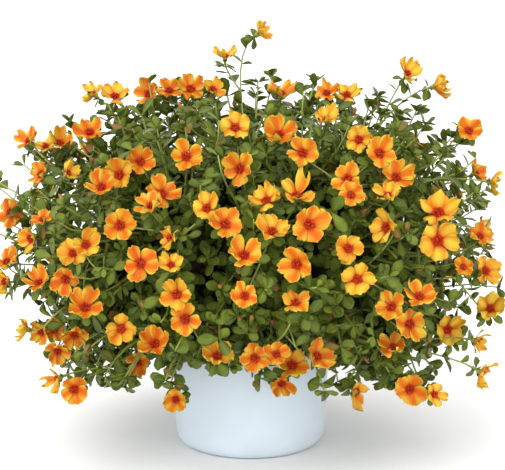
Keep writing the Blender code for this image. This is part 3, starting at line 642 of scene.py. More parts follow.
def lay_out():
    """The whole plant as numbers: stems, cores, sprays, blooms and shoots, in nodes that don't cross."""
    draw = np.random.default_rng(SEED)
    room = Room()
    room.add(turned_points(POT_PROFILE, POT_SIDES), "pot")
    blooms = place_blooms(room, draw)
    feet = np.array([m - a * (CUP_SHARE * r + CALYX_DEPTH) for m, a, r, _ in blooms])
    spray_of = share_out(feet, SPRAY_COUNT)
    hearts = group_means(feet, spray_of, SPRAY_COUNT)
    stem_of = share_out(hearts, STEM_COUNT)
    targets = group_means(hearts, stem_of, STEM_COUNT)
    holes = stem_holes(targets)
    plant = {"blooms": blooms, "holes": holes, "stems": [], "cores": [], "sprays": [], "shoots": []}
    centres = MOUND_CENTRE + CORE_PLACE * (targets - MOUND_CENTRE)
    for k, (hole, centre) in enumerate(zip(holes, centres)):
        path = stem_path(room, draw, hole, centre)
        plant["stems"].append(path)
        room.add(tube(path, STEM_RADII, STEM_SIDES), f"stem {k}")
    place_cores(room, plant, draw, centres)
    for k in range(STEM_COUNT):
        for spray in np.flatnonzero(stem_of == k):
            members = np.flatnonzero(spray_of == spray)
            members = members[np.argsort(np.linalg.norm(feet[members] - hearts[spray], axis=1))]
            place, direction = on_core(plant["cores"][k], centres[k], hearts[spray])
            root = place + direction * SPRAY_GAP
            plant["sprays"].append(spray_stalks(room, draw, blooms, feet, f"spray {spray}", root, members))
    place_shoots(plant, room, draw, centres)
    return plant


def spray_stalks(room, draw, blooms, feet, own, root, members):
    """The stalks of one spray, as (bloom, path from its root to its calyx), the main one first."""
    stalks = []
    for rank, member in enumerate(members):
        axis, foot = blooms[member][1], feet[member]
        ignore = (own, f"bloom {member}")
        widths = stalk_widths(rank == 0)
        for attempt in range(BRANCH_TRIES):
            if rank:
                spot = BRANCH_LOW + BRANCH_SPAN * ((BRANCH_SHIFT * attempt + rank / len(members)) % 1.0)
                root = along_path(stalks[0][1], spot)
            length = np.linalg.norm(foot - root)
            leave = root + unit(outward_at(root) + unit(foot - root)) * 0.3 * length
            control = (root, leave, foot - axis * 0.35 * length, foot)
            path = curve_clear(room, widths, TEST_SIDES, STALK_RINGS, control, draw, ignore)
            if path is not None:
                break
        else:
            raise RuntimeError(f"no room for the stalk of bloom {member}")
        room.add(tube(path, widths, TEST_SIDES), own)
        stalks.append((member, path))
    return stalks


def stalk_widths(main):
    """A stalk's radius at each point from its root: a branch has a finer root, sunk in the main stalk."""
    widths = np.full(STALK_RINGS, STALK_RADIUS)
    widths[0] *= MAIN_ROOT if main else BRANCH_ROOT
    widths[-1] = CALYX_RADIUS
    return widths


def along_path(path, share):
    """The point at a share of the way along a path, by its points."""
    spot = share * (len(path) - 1)
    low = min(int(spot), len(path) - 2)
    return path[low] + (spot - low) * (path[low + 1] - path[low])


def place_shoots(plant, room, draw, centres):
    """Leafy shoots from the stems out to the mound's surface, each with two whorls of leaves."""
    ends = mound_points(SHOOT_COUNT, *SHOOT_HEIGHTS)
    ends = MOUND_CENTRE + (ends - MOUND_CENTRE) * SHOOT_REACH
    from_axis = np.hypot(ends[:, 0], ends[:, 1])
    beside, over = from_axis > POT_RIM_RADIUS + SHOOT_BESIDE_POT, ends[:, 2] > POT_HEIGHT + SHOOT_OVER_POT
    ends = ends[beside | over]
    stem_of = nearest(ends, centres)
    for k in range(STEM_COUNT):
        own = f"stem {k}"
        for end in ends[stem_of == k]:
            place, direction = on_core(plant["cores"][k], centres[k], end)
            start = place - direction * SHOOT_SUNK
            length = np.linalg.norm(end - start)
            leave = start + direction * 0.35 * length
            control = (start, leave, end - outward_at(end) * 0.35 * length, end)
            shape = (SHOOT_RADII, TEST_SIDES, WHORL_SPOTS)
            path = curve_clear(room, *shape, control, draw, (own,), WHORL_HALF)
            if path is not None:
                room.add(tube(path, SHOOT_RADII, TEST_SIDES), own)
                plant["shoots"].append((k, path[0], place_whorls(room, draw, own, path)))


def place_whorls(room, draw, own, path):
    """The whorls of one shoot, turned on where their leaves would cross another node or another whorl."""
    placed, whorls = Room(), []
    outward = side_frame(unit(path[1] - path[0]))[0]
    for low, centre in zip(path, path[1:]):
        tangent = unit(centre - low)
        outward = squared(outward, tangent)
        best = None
        for turn in WHORL_TURNS:
            first = swung(outward, np.cross(tangent, outward), math.radians(turn))
            leaves = [place_leaf(room, placed, draw, own, centre, tangent, first, k) for k in range(3)]
            if best is None or leaves.count(None) < best[3].count(None):
                best = (centre, tangent, first, leaves)
            if None not in leaves:
                break
        whorls.append(best)
        outward = best[2]
        for side, shape in enumerate(best[3]):
            if shape:
                room.add(leaf_alone(*best[:3], side, shape), own)
                placed.add(leaf_alone(*best[:3], side, shape), "")
    return whorls


def place_leaf(room, placed, draw, own, centre, tangent, first, side):
    """One leaf of a whorl at the first lift that is clear, or None where every one crosses something."""
    outward = swung(first, np.cross(tangent, first), 2 * math.pi * (side + 0.5) / 3)
    size = draw.uniform(*LEAF_SIZES)
    for lift in draw.permutation(LEAF_LIFTS):
        along = unit(outward + tangent * lift + UP * LEAF_RISE)
        root = centre + outward * (0.4 * SHOOT_RADII[1])
        shape = (root, along, tangent + UP * 0.25, LEAF_LENGTH * size, LEAF_WIDTH * size)
        blade = leaf_alone(centre, tangent, first, side, shape, TEST_GAP)
        if not room.crossed(blade, (own,)) and not placed.crossed(blade):
            return shape
    return None


def pot_profile():
    """The pot's wall, from the middle of its floor up the inside, over the lip and down to its underside."""
    lip = POT_RIM_RADIUS + POT_LIP
    lip_foot = POT_HEIGHT - POT_LIP_HEIGHT
    slope = (POT_RIM_RADIUS - POT_HEEL_RADIUS) / (POT_HEIGHT - POT_FOOT_ROUND)
    under_lip = POT_RIM_RADIUS - slope * POT_LIP_HEIGHT
    inner_foot = POT_FOOT_RADIUS - 0.5 * POT_WALL
    inner_heel = (POT_HEEL_RADIUS - POT_WALL, POT_FOOT_ROUND + 0.002)
    points = [(0, POT_FLOOR), (inner_foot, POT_FLOOR), inner_heel, (POT_RIM_RADIUS - POT_WALL, POT_HEIGHT),
              (lip, POT_HEIGHT), (lip, lip_foot), (under_lip, lip_foot - POT_LIP),
              (POT_HEEL_RADIUS, POT_FOOT_ROUND)]
    for turn in np.radians((30, 60)):
        beyond_foot = (POT_HEEL_RADIUS - POT_FOOT_RADIUS) * math.cos(turn)
        points.append((POT_FOOT_RADIUS + beyond_foot, POT_FOOT_ROUND * (1 - math.sin(turn))))
    return [*points, (POT_FOOT_RADIUS, 0), (0, 0)]


def turned_points(profile, sides):
    """A profile turned about Z, as (points, faces), for the room that the pot takes."""
    angles = full_turn(sides)
    points = np.array([(r * math.cos(a), r * math.sin(a), z) for r, z in profile for a in angles])
    faces = []
    for ring in range(len(profile) - 1):
        for k in range(sides):
            nxt = (k + 1) % sides
            low, high = ring * sides, (ring + 1) * sides
            faces.append((low + k, low + nxt, high + nxt, high + k))
    return points, faces


POT_PROFILE = pot_profile()

# A fine leaf: the spots along it and the angles round it where its section is worked out.
LEAF_SPOTS = np.array((0.0, 0.2, 0.46, 0.72, 0.92))
LEAF_ROUND = np.radians((0, 62, 118, 180, 270))
LEAF_TOP = np.array((0.0, 0.5, 0.5, 0.0, -1.0))
LEAF_BODY = 0.0009
LEAF_NECK = 0.10

# Twigs that fill the mound, and how their leaves are set.
TWIG_STARTS = (-0.93, 0.97)
CROWN_TWIGS = 70
CROWN_STARTS = (0.5, 0.97)
CROWN_REACHES = (0.96, 1.12)
TWIG_REACHES = (0.70, 1.08)
TWIG_REACH_POWER = 0.7
TWIG_LEAST_LEAVES = 4
TWIG_SCATTER = 0.007
TWIG_RINGS = 6
TWIG_SIDES = 5
TWIG_RADII = np.linspace(0.0013, 0.0007, TWIG_RINGS)
TWIG_SUNK = 0.004
STEM_FINE_SIDES = 8
TWIG_LEAF_SPOTS = (0.30, 0.35, 0.52, 0.57, 0.76, 0.81, 0.91, 0.95)
TIP_LEAVES = 5
TIP_NEAR = 0.002
GOLDEN_TURN = math.pi * (3 - math.sqrt(5))

# Twigs that hang round the pot: how far out and how high they end, and where they leave the pot.
SKIRT_TWIGS = 210
SKIRT_RADII = (0.096, 0.205)
SKIRT_HEIGHTS = (0.055, 0.118)
SKIRT_FRONT_LIFT = 0.038
SKIRT_START = (0.058, 0.128)
SKIRT_DEPTH = 0.86
SKIRT_LIMIT = 1.5

# Leaves that lie on each core, which is drawn in a little under them.
CARPET_LEAVES = 150
CARPET_LEAST = 0.12
CARPET_LENGTHS = (0.013, 0.019)
CORE_SHRINK = 0.95

# Buds at the tips of twigs: a tube's spots and radii from its neck to its point.
BUD_LENGTHS = (0.008, 0.015)
BUD_SPOTS = np.array((0.0, 0.35, 0.5, 0.68, 0.86, 1.0))
BUD_RADII = np.array((0.0006, 0.0008, 0.0021, 0.0024, 0.0013, 0.0003))
BUD_DEPTH = 0.97

# Room round the blooms and the pot that leaves keep out of, and how far out the leaves may be.
BLOOM_ROOM = 1.02
BLOOM_ROOM_AHEAD = 0.030
SIGHT_ROOM = 0.80
POT_ROOM = 0.0035
LEAF_LIMIT = 1.15

# A petal: spots along it with its half width at each, in shares of the bloom's radius.
PETAL_SPOTS = np.array((0.05, 0.20, 0.38, 0.56, 0.74, 0.89, 0.985))
PETAL_HALVES = np.array((0.055, 0.18, 0.33, 0.43, 0.445, 0.37, 0.225))
PETAL_ACROSS = np.linspace(-1.0, 1.0, 7)
PETAL_REACH = 0.985
PETAL_THICKNESS = 0.0005

# Stamens, the small dome that they stand on, and the sepals.
STAMENS = 18
THREAD_RADIUS = 0.00024
THREAD_SIDES = 3
ANTHER_SPOTS = np.array((-0.0008, 0.0, 0.0008))
ANTHER_RADII = (0.0003, 0.0009, 0.0003)
ANTHER_SIDES = 4
HEART_HEIGHTS = np.array((-0.0009, 0.0003, 0.0011, 0.0016))
HEART_WIDTHS = np.array((0.06, 0.11, 0.09, 0.04))
HEART_SIDES = 8
SEPALS = 2
SEPAL_ROOT_RADIUS = 0.0012
SEPAL_ROOT_DEPTH = 0.0036
SEPAL_TIP_DEPTH = 0.0022

# Flower stalks and their leaves.
STALK_FINE_RINGS = 9
STALK_SIDES = 6
STALK_TAPER = (1.15, 0.8)
MAIN_FINE_ROOT = 1.3
CALYX_SWELL = (1.35, 2.6, 2.9)
CALYX_SUNK = 0.0008
WHORL_LEAVES = 5
WHORL_LEAF_LENGTH = 0.0145
WHORL_LEAF_WIDTH = 0.0096
STALK_LEAF_SPOTS = (0.22, 0.36, 0.38, 0.52, 0.54, 0.68, 0.70, 0.84)
STALK_LEAF_LENGTHS = (0.011, 0.017)
LEAF_EVERY = 0.009

# The fine pot and soil: their sides, the pot's roundings, and the cutters of its drainage holes.
POT_FINE_SIDES = 128
INNER_ROUND = 0.004
FOOT_ROUND = 0.0026
DRAIN_SIDES = 24
DRAIN_HEIGHTS = (-0.01, 0.0, 0.02)
WELD = 1e-6
SOIL_FINE_SIDES = 96
SOIL_RINGS = 30
SOIL_SUNK = 0.0015
SOIL_SHY = 0.0004

SOIL_FLOOR_GAP = 0.0005
SOIL_FOOT_GAP = 0.002
SOIL_HEEL_GAP = 0.0012
SOIL_HEEL_RISE = 0.003

# Which of a piece's looks each of its parts wears, and the tones of stems and shoots.
LEAF_LOOK, STEM_LOOK, CORE_LOOK, BUD_LOOK = range(4)
PETAL_LOOK, STAMEN_LOOK = range(2)
EVEN_TONE = 0.5
STEM_TONE = 0.8
SHOOT_TONE = 0.4

# The stage: the floor's half width, and the place of each light and how far it is spread in degrees.
FLOOR_REACH = 12.0
KEY_PLACE, KEY_SPREAD = (-0.9, -1.3, 2.0), 45
FILL_PLACE, FILL_SPREAD = (0.7, -1.8, 0.55), 70


class Pile:
    """What one piece is made of: points with their places in the pattern, and faces with their looks."""

    def __init__(self):
        self.points, self.places, self.tones, self.unders = [], [], [], []
        self.faces = {3: [], 4: []}
        self.looks = {3: [], 4: []}
        self.count = 0

    def add(self, shapes, faces, places, tones, look=0, unders=None):
        """Adds copies of one shape: its points for each copy, the faces of one copy and a tone for each."""
        copies, size = shapes.shape[:2]
        starts = self.count + size * np.arange(copies)[:, None, None]
        for kind in faces:
            corners = kind.shape[1]
            self.faces[corners].append((kind[None] + starts).reshape(-1, corners))
            self.looks[corners].append(np.full(copies * len(kind), look))
        self.points.append(shapes.reshape(-1, 3))
        self.places.append(np.broadcast_to(places, (copies, size, 2)).reshape(-1, 2))
        self.tones.append(np.repeat(tones, size))
        unders = np.zeros(size) if unders is None else unders
        self.unders.append(np.broadcast_to(unders, (copies, size)).reshape(-1))
        self.count += copies * size

    def add_tubes(self, shapes, sides, tones, look=0):
        """Adds copies of a tube of so many sides, with a point that closes each end."""
        rings = shapes.shape[1] // sides
        self.add(shapes, ring_faces(rings, sides), ring_places(rings, sides), tones, look)

    def add_leaves(self, shapes, leaves, mine):
        """Adds those of the fine leaves that are the piece's own."""
        places, under = leaf_places()
        faces = ring_faces(len(LEAF_SPOTS), len(LEAF_ROUND))
        self.add(shapes[mine], faces, places, leaves["tone"][mine], LEAF_LOOK, under)


def add_object(name, data):
    """A new object in the scene."""
    made = bpy.data.objects.new(name, data)
    bpy.context.scene.collection.objects.link(made)
    return made


def stand(made, place, aim):
    """Stands a light or a camera in its place, and turns it towards its aim."""
    made.location = place
    made.rotation_euler = (Vector(aim) - Vector(place)).to_track_quat("-Z", "Y").to_euler()


def make_piece(name, pile, looks, slot, *nodes):
    """Puts a pile into a mesh with its pattern, makes it a piece that rides on the plant, and returns it."""
    corners = [k for k in (4, 3) if pile.faces[k]]
    faces = [np.concatenate(pile.faces[k]) for k in corners]
    loops = np.concatenate([kind.ravel() for kind in faces])
    sizes = np.concatenate([np.full(len(kind), kind.shape[1]) for kind in faces])
    mesh = bpy.data.meshes.new(name)
    mesh.vertices.add(pile.count)
    mesh.vertices.foreach_set("co", np.concatenate(pile.points).ravel())
    mesh.loops.add(len(loops))
    mesh.loops.foreach_set("vertex_index", loops.astype(np.int32))
    mesh.polygons.add(len(sizes))
    mesh.polygons.foreach_set("loop_start", (np.cumsum(sizes) - sizes).astype(np.int32))
    for look in looks:
        mesh.materials.append(look)
    worn = np.concatenate([np.concatenate(pile.looks[k]) for k in corners])
    mesh.polygons.foreach_set("material_index", worn.astype(np.int32))
    mesh.polygons.foreach_set("use_smooth", np.ones(len(sizes), dtype=bool))
    mesh.update(calc_edges=True)
    layer = mesh.uv_layers.new(name="place")
    layer.data.foreach_set("uv", np.concatenate(pile.places)[loops].ravel())
    for label, values in (("tone", pile.tones), ("under", pile.unders)):
        mark = mesh.attributes.new(label, "FLOAT", "POINT")
        mark.data.foreach_set("value", np.concatenate(values).astype(np.float32))
    made = add_object(name, mesh)
    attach(made, "root")
    if nodes:
        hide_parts(*nodes)
    return made


def rows(vectors):
    """Each vector of an array, one unit long."""
    return vectors / np.linalg.norm(vectors, axis=-1, keepdims=True)


def rows_square(vectors, axes):
    """The part of each vector that is square to its axis, one unit long."""
    return rows(vectors - axes * (vectors * axes).sum(axis=1, keepdims=True))


def across_of(directions):
    """For each direction, two unit vectors square to it and to each other."""
    away = np.where(np.abs(directions[..., 2:]) < 0.9, UP, np.array((0.0, 1.0, 0.0)))
    across = rows(np.cross(away, directions))
    return across, np.cross(directions, across)


def around(turns, across, upward):
    """The cosine of each turn times the way across, and its sine times the way up."""
    return np.cos(turns) * across + np.sin(turns) * upward


def bezier_at(controls, spots):
    """Points and directions of many cubic curves at the same spots. The direction is that of the slope: the
    sum of the steps between control points weighted by the terms of a square curve."""
    t = np.asarray(spots)[None, :, None]
    a, b, c, d = (controls[:, None, k] for k in range(4))
    slopes = (1 - t) ** 2 * (b - a) + 2 * t * (1 - t) * (c - b) + t**2 * (d - c)
    return cubic((a, b, c, d), t), rows(slopes)


def carry(paths, radii, sides):
    """Tubes along many paths: at each point of a path a ring of cosine and sine of the angle times the
    radius, square to the path, and a point that closes each end."""
    radii = np.broadcast_to(radii, paths.shape[:2])
    tangents = rows(np.gradient(paths, axis=1))
    across, _ = across_of(tangents[:, 0])
    angles = full_turn(sides)
    shapes = []
    for ring in range(paths.shape[1]):
        tangent = tangents[:, ring]
        across = rows_square(across, tangent)
        upward = np.cross(tangent, across)
        turn = around(angles[None, :, None], across[:, None], upward[:, None])
        shapes.append(paths[:, ring, None] + radii[:, ring, None, None] * turn)
    return np.concatenate([*shapes, paths[:, :1], paths[:, -1:]], axis=1)


def ring_faces(rings, sides):
    """The faces of rings joined in a row, with a closing point at each end: the last two points."""
    here, there = np.arange(sides), (np.arange(sides) + 1) % sides
    starts = np.arange(rings - 1)[:, None] * sides
    low, nxt = (starts + here).reshape(-1), (starts + there).reshape(-1)
    quads = np.stack((low, nxt, nxt + sides, low + sides), axis=1)
    start, end, last = rings * sides, rings * sides + 1, (rings - 1) * sides
    first = np.stack((there, here, np.full(sides, start)), axis=1)
    final = np.stack((last + here, last + there, np.full(sides, end)), axis=1)
    return quads, np.concatenate((first, final))


def ring_places(rings, sides):
    """Places in the pattern for rings: round as x, along as y."""
    x = np.tile(np.arange(sides) / sides, rings)
    y = np.repeat(np.linspace(0.0, 1.0, rings), sides)
    return with_ends(x, y)


def with_ends(x, y):
    """Places in the pattern, and one for the closing point at each end."""
    return np.concatenate((np.stack((x, y), axis=1), [(0.5, 0.0), (0.5, 1.0)]))


def blades(leaves):
    """Fleshy leaves from their roots, directions, faces, sizes and bends, as closed blades.

    A leaf is a function of t, from its root to its tip, and of an angle round its section. Its half width
    is sin(pi t^1.6)^0.7 of half its width and a neck that narrows to the tip; its section is the angle's
    cosine across and a fixed outline in height; the sides rise by the square of the way across; and the
    whole leaf bends down by the square of t.
    """
    root, along = leaves["root"], rows(leaves["along"])
    face = rows_square(leaves["face"], along)
    across = np.cross(face, along)
    length, width = leaves["length"][:, None, None], leaves["width"][:, None, None]
    t = LEAF_SPOTS[None, :, None]
    half = 0.5 * width * (np.sin(math.pi * t**1.6) ** 0.7 * (1 - 0.6 * LEAF_NECK) + LEAF_NECK * (1 - t))
    side = half * np.cos(LEAF_ROUND)
    body = LEAF_BODY * np.sqrt(np.clip(1.15 - t, 0, 1)) * (0.35 + 0.65 * np.sin(math.pi * t**0.8))
    lift = body * LEAF_TOP + leaves["cup"][:, None, None] * half * np.cos(LEAF_ROUND) ** 2
    lift = lift - leaves["bend"][:, None, None] * length * t**2
    out = np.broadcast_to(length * t, side.shape)
    shapes = root[:, None, None] + out[..., None] * along[:, None, None]
    shapes = shapes + side[..., None] * across[:, None, None] + lift[..., None] * face[:, None, None]
    shapes = shapes.reshape(len(root), -1, 3)
    tips = root + along * leaves["length"][:, None] - face * (leaves["bend"] * leaves["length"])[:, None]
    return np.concatenate((shapes, root[:, None], tips[:, None]), axis=1)


def leaf_places():
    """Places in the pattern for a fine leaf: across as x, along as y, and which points are under it."""
    x = np.tile(0.5 + 0.5 * np.cos(LEAF_ROUND), len(LEAF_SPOTS))
    y = np.repeat(LEAF_SPOTS, len(LEAF_ROUND))
    under = np.tile(LEAF_TOP < -0.5, len(LEAF_SPOTS)).astype(float)
    return with_ends(x, y), np.concatenate((under, (0.0, 0.0)))


def leaf_set(root, along, face, owner, **numbers):
    """Leaves as a table of columns, with length, width, bend, cup and tone: one number for all, or each its
    own."""
    columns = {"root": root, "along": along, "face": face}
    columns = {label: np.reshape(vectors, (-1, 3)) for label, vectors in columns.items()}
    count = len(columns["root"])
    for label, values in numbers.items():
        columns[label] = np.broadcast_to(np.ravel(values), count).astype(float)
    columns["owner"] = np.broadcast_to(owner, count)
    return columns


def chosen(leaves, mask):
    """Those of the leaves that the mask picks."""
    return {label: column[mask] for label, column in leaves.items()}


def joined(sets):
    """Several tables of leaves as one."""
    return {label: np.concatenate([s[label] for s in sets]) for label in sets[0]}


def clear_of_blooms(points, own=None):
    """Whether each point leaves every bloom free: it isn't in the bowl or just in front of it, and it
    doesn't stand between a bloom of the near side and the viewer. own is each point's own bloom."""
    middles, axes, radii, _ = bloom_table()
    offset = points[:, None] - middles
    ahead = (offset * axes).sum(axis=2)
    beside = np.linalg.norm(offset - ahead[..., None] * axes, axis=2)
    taken = (ahead > -CUP_SHARE * radii) & (ahead < BLOOM_ROOM_AHEAD) & (beside < BLOOM_ROOM * radii)
    front = np.arange(len(middles)) < len(FRONT_BLOOMS)
    sight = rows(middles - EYE)
    reach = ((points[:, None] - EYE) * sight).sum(axis=2)
    from_sight = np.linalg.norm(points[:, None] - EYE - reach[..., None] * sight, axis=2)
    nearer = reach < np.linalg.norm(middles - EYE, axis=1) - 0.2 * radii
    taken |= front & nearer & (from_sight < SIGHT_ROOM * radii)
    if own is not None:
        taken[np.arange(len(points)), own] = False
    return ~taken.any(axis=1)


def clear_of_pot(points):
    """Whether each point is outside the pot's wall and lip."""
    from_axis = np.hypot(points[:, 0], points[:, 1])
    outer = POT_RIM_RADIUS + POT_LIP + POT_ROOM
    inner = POT_RIM_RADIUS - POT_WALL - POT_ROOM
    low = points[:, 2] < POT_HEIGHT + POT_ROOM
    return ~(low & (from_axis < outer) & (from_axis > inner))


def in_room(leaves, own=None, limit=LEAF_LIMIT):
    """Which leaves have room: clear of the pot and the blooms, near the mound, and in the solids' box."""
    shapes = blades(leaves)
    good = ((shapes > BOX_LOW) & (shapes < BOX_HIGH)).all(axis=(1, 2))
    tips, middles = shapes[:, -1], shapes[:, :-2].mean(axis=1)
    good &= mound_measure(tips) < limit
    for points in (tips, middles):
        good &= clear_of_blooms(points, own)
    for points in (leaves["root"], tips, middles):
        good &= clear_of_pot(points)
    return good


@functools.cache
def planted():
    """The plant's layout, worked out once."""
    return lay_out()


@functools.cache
def bloom_table():
    """Every bloom's middle, axis, radius and spin, as arrays."""
    blooms = planted()["blooms"]
    return tuple(np.array([bloom[k] for bloom in blooms]) for k in range(4))


@functools.cache
def stalk_table():
    """Every flower stalk: its spray, its bloom, whether it is the main one, and its four control points.

    The curve is the one whose middle and ends are the points of the solid's stalk and which arrives
    along the bloom's axis. A main stalk's root goes on down into its core.
    """
    middles, axes, _, _ = bloom_table()
    sprays, members, mains, controls = [], [], [], []
    for spray, stalks in enumerate(planted()["sprays"]):
        for rank, (member, path) in enumerate(stalks):
            root, middle, foot = path
            length = np.linalg.norm(foot - root)
            arrive = foot - axes[member] * 0.3 * length
            leave = (8 * middle - root - foot - 3 * arrive) / 3
            if rank == 0:
                root = root - unit(leave - root) * STALK_STUB
            sprays.append(spray)
            members.append(member)
            mains.append(rank == 0)
            controls.append((root, leave, arrive, foot))
    return np.array(sprays), np.array(members), np.array(mains), np.array(controls)


def to_blooms(local, which):
    """Points given in each bloom's own frame (across, upward, ahead), in metres, put in their place."""
    middles, axes, _, _ = bloom_table()
    across, upward = across_of(axes[which])
    frames = np.stack((across, upward, axes[which]), axis=1)
    return middles[which][:, None] + local @ frames


def round_bloom(angles, out, side, height):
    """Points a way out and a way aside from the bloom's middle, at an angle round it, and a height."""
    x = out * np.cos(angles) - side * np.sin(angles)
    y = out * np.sin(angles) + side * np.cos(angles)
    return np.stack(np.broadcast_arrays(x, y, height), axis=-1)


def held_in_box(shapes, which):
    """Blooms drawn in about their middles, each by as much as keeps it inside the solids' box."""
    middle = bloom_table()[0][which][:, None]
    offset = shapes - middle
    room = np.where(offset > 0, BOX_HIGH - middle, middle - BOX_LOW)
    share = np.min(room / np.maximum(np.abs(offset), 1e-6), axis=(1, 2), keepdims=True)
    return middle + offset * np.minimum(share, 1.0)


def petals(which, draw):
    """The five petals of each bloom, as thin closed shells.

    A petal is a function of s, from its base to its tip, and v, from side to side. Its half width is a
    drawn curve of s; the tip falls back in a notch at the middle and at the shoulders. It rises from the
    bowl's floor as s^1.15, and on top of that are a hollow across, a tilt like a pinwheel's, a ruffle that
    grows with s cubed, and a curl and a sideways sweep with s squared. The rim is wavy, and each bloom
    closes a little more or less than the next. The shell's back is the same surface, set down.
    """
    _, _, radii, spins = bloom_table()
    count = len(which)
    shape = (count, PETALS, 1, 1)
    radius = radii[which][:, None, None, None]
    angles = spins[which][:, None, None, None] + full_turn(PETALS)[:, None, None]
    angles = angles + draw.normal(0, 0.085, shape)
    size, wide = draw.uniform(0.77, 1.0, shape), draw.uniform(0.74, 1.04, shape)
    phase, curl = draw.uniform(0, 2 * math.pi, shape), draw.normal(0.0, 0.11, shape)
    other, skew = draw.uniform(0, 2 * math.pi, shape), draw.normal(0.0, 0.09, shape)
    hollow = draw.normal(0.12, 0.22, shape) + draw.normal(0.0, 0.08, (count, 1, 1, 1))
    tilt = draw.normal(0.035, 0.08, shape)
    curl = curl + draw.normal(0.05, 0.08, (count, 1, 1, 1))
    s, v = PETAL_SPOTS[:, None], PETAL_ACROSS
    notch = 0.07 * np.exp(-(v / 0.28) ** 2) * s**6 + 0.15 * np.abs(v) ** 3 * s**3
    lobes = 0.035 * np.sin(4.5 * v + other) * s**4
    out = radius * size * PETAL_REACH * s * (1 - notch + lobes)
    side = radius * (wide * PETAL_HALVES[:, None] * v + skew * s**2)
    height = -CUP_SHARE * (1 - s**1.15) + hollow * v**2 * s + tilt * v * s
    height = radius * (height + 0.085 * np.sin(4.5 * v + phase) * s**3 + curl * s**2)
    half = 0.5 * PETAL_THICKNESS * (1.1 - 0.6 * s)
    shells = [round_bloom(angles, out, side, height + lift) for lift in (half, -half)]
    local = np.stack(shells, axis=2).reshape(count, -1, 3)
    placed = held_in_box(to_blooms(local, which), which)
    return placed.reshape(count * PETALS, -1, 3)


def petal_faces():
    """The faces of one petal's shell: its top, its back turned over, and the rim that joins them."""
    grid = np.arange(len(PETAL_SPOTS) * len(PETAL_ACROSS)).reshape(len(PETAL_SPOTS), -1)
    top = np.stack((grid[:-1, :-1], grid[1:, :-1], grid[1:, 1:], grid[:-1, 1:]), axis=-1).reshape(-1, 4)
    here = np.concatenate((grid[:, 0], grid[-1, 1:], grid[-2::-1, -1], grid[0, -2:0:-1]))
    there = np.roll(here, -1)
    rim = np.stack((there, here, here + grid.size, there + grid.size), axis=1)
    return np.concatenate((top, top[:, ::-1] + grid.size, rim))


def petal_places():
    """Places in the pattern for a petal: across as x, along as y, and which points are on its back."""
    x, y = np.meshgrid(0.5 + 0.5 * PETAL_ACROSS, PETAL_SPOTS)
    one = np.stack((x.ravel(), y.ravel()), axis=1)
    return np.concatenate((one, one)), np.repeat((0.0, 1.0), len(one))


def stamens(which, draw):
    """Each bloom's stamens: threads from its floor out to a seeded spiral, and a small anther on each.

    Stamen k of n stands at the golden angle times k and the square root of k / n of their circle, and
    the threads at the middle are the longest. Each has a tone of its own.
    """
    _, _, radii, spins = bloom_table()
    shape = (len(which), STAMENS)
    rank = (np.arange(STAMENS) + 0.5) / STAMENS
    radius = radii[which][:, None]
    angles = spins[which][:, None] + GOLDEN_TURN * np.arange(STAMENS) + draw.normal(0, 0.15, shape)
    out = radius * (0.04 + 0.19 * np.sqrt(rank)) * draw.uniform(0.9, 1.1, shape)
    top = radius * (0.30 - 0.13 * rank - CUP_SHARE) + draw.normal(0, 0.0004, shape)
    feet = round_bloom(angles, 0.25 * out, 0.0, -CUP_SHARE * radius + 0.0003)
    heads = round_bloom(angles, out, 0.0, top)
    feet, heads = (to_blooms(ends, which).reshape(-1, 3) for ends in (feet, heads))
    threads = carry(np.stack((feet, heads), axis=1), THREAD_RADIUS, THREAD_SIDES)
    ahead = rows(heads - feet)
    anthers = carry(heads[:, None] + ahead[:, None] * ANTHER_SPOTS[:, None], ANTHER_RADII, ANTHER_SIDES)
    return threads, anthers, draw.uniform(0.0, 1.0, len(feet))


def heart_domes(which):
    """A small dome on each bowl's floor, where the stamens stand: a short tube that closes over its top."""
    radius = bloom_table()[2][which][:, None]
    heights = -CUP_SHARE * radius + HEART_HEIGHTS
    local = np.stack((np.zeros_like(heights), np.zeros_like(heights), heights), axis=-1)
    return carry(to_blooms(local, which), radius * HEART_WIDTHS, HEART_SIDES)


def bloom_stalks():
    """Every flower stalk as a tube that widens under its bloom into the calyx and ends at the bowl."""
    _, members, mains, controls = stalk_table()
    middles, axes, radii, _ = bloom_table()
    paths, _ = bezier_at(controls, np.linspace(0, 1, STALK_FINE_RINGS))
    floor = CUP_SHARE * radii[members][:, None]
    axis, middle = axes[members], middles[members]
    neck = middle - axis * (floor + 0.5 * CALYX_DEPTH)
    end = middle - axis * (floor - CALYX_SUNK)
    paths = np.concatenate((paths, neck[:, None], end[:, None]), axis=1)
    widths = np.concatenate((np.linspace(*STALK_TAPER, STALK_FINE_RINGS - 1), CALYX_SWELL))
    radii_along = STALK_RADIUS * np.broadcast_to(widths, paths.shape[:2]).copy()
    radii_along[mains, 0] *= MAIN_FINE_ROOT
    return carry(paths, radii_along, STALK_SIDES)


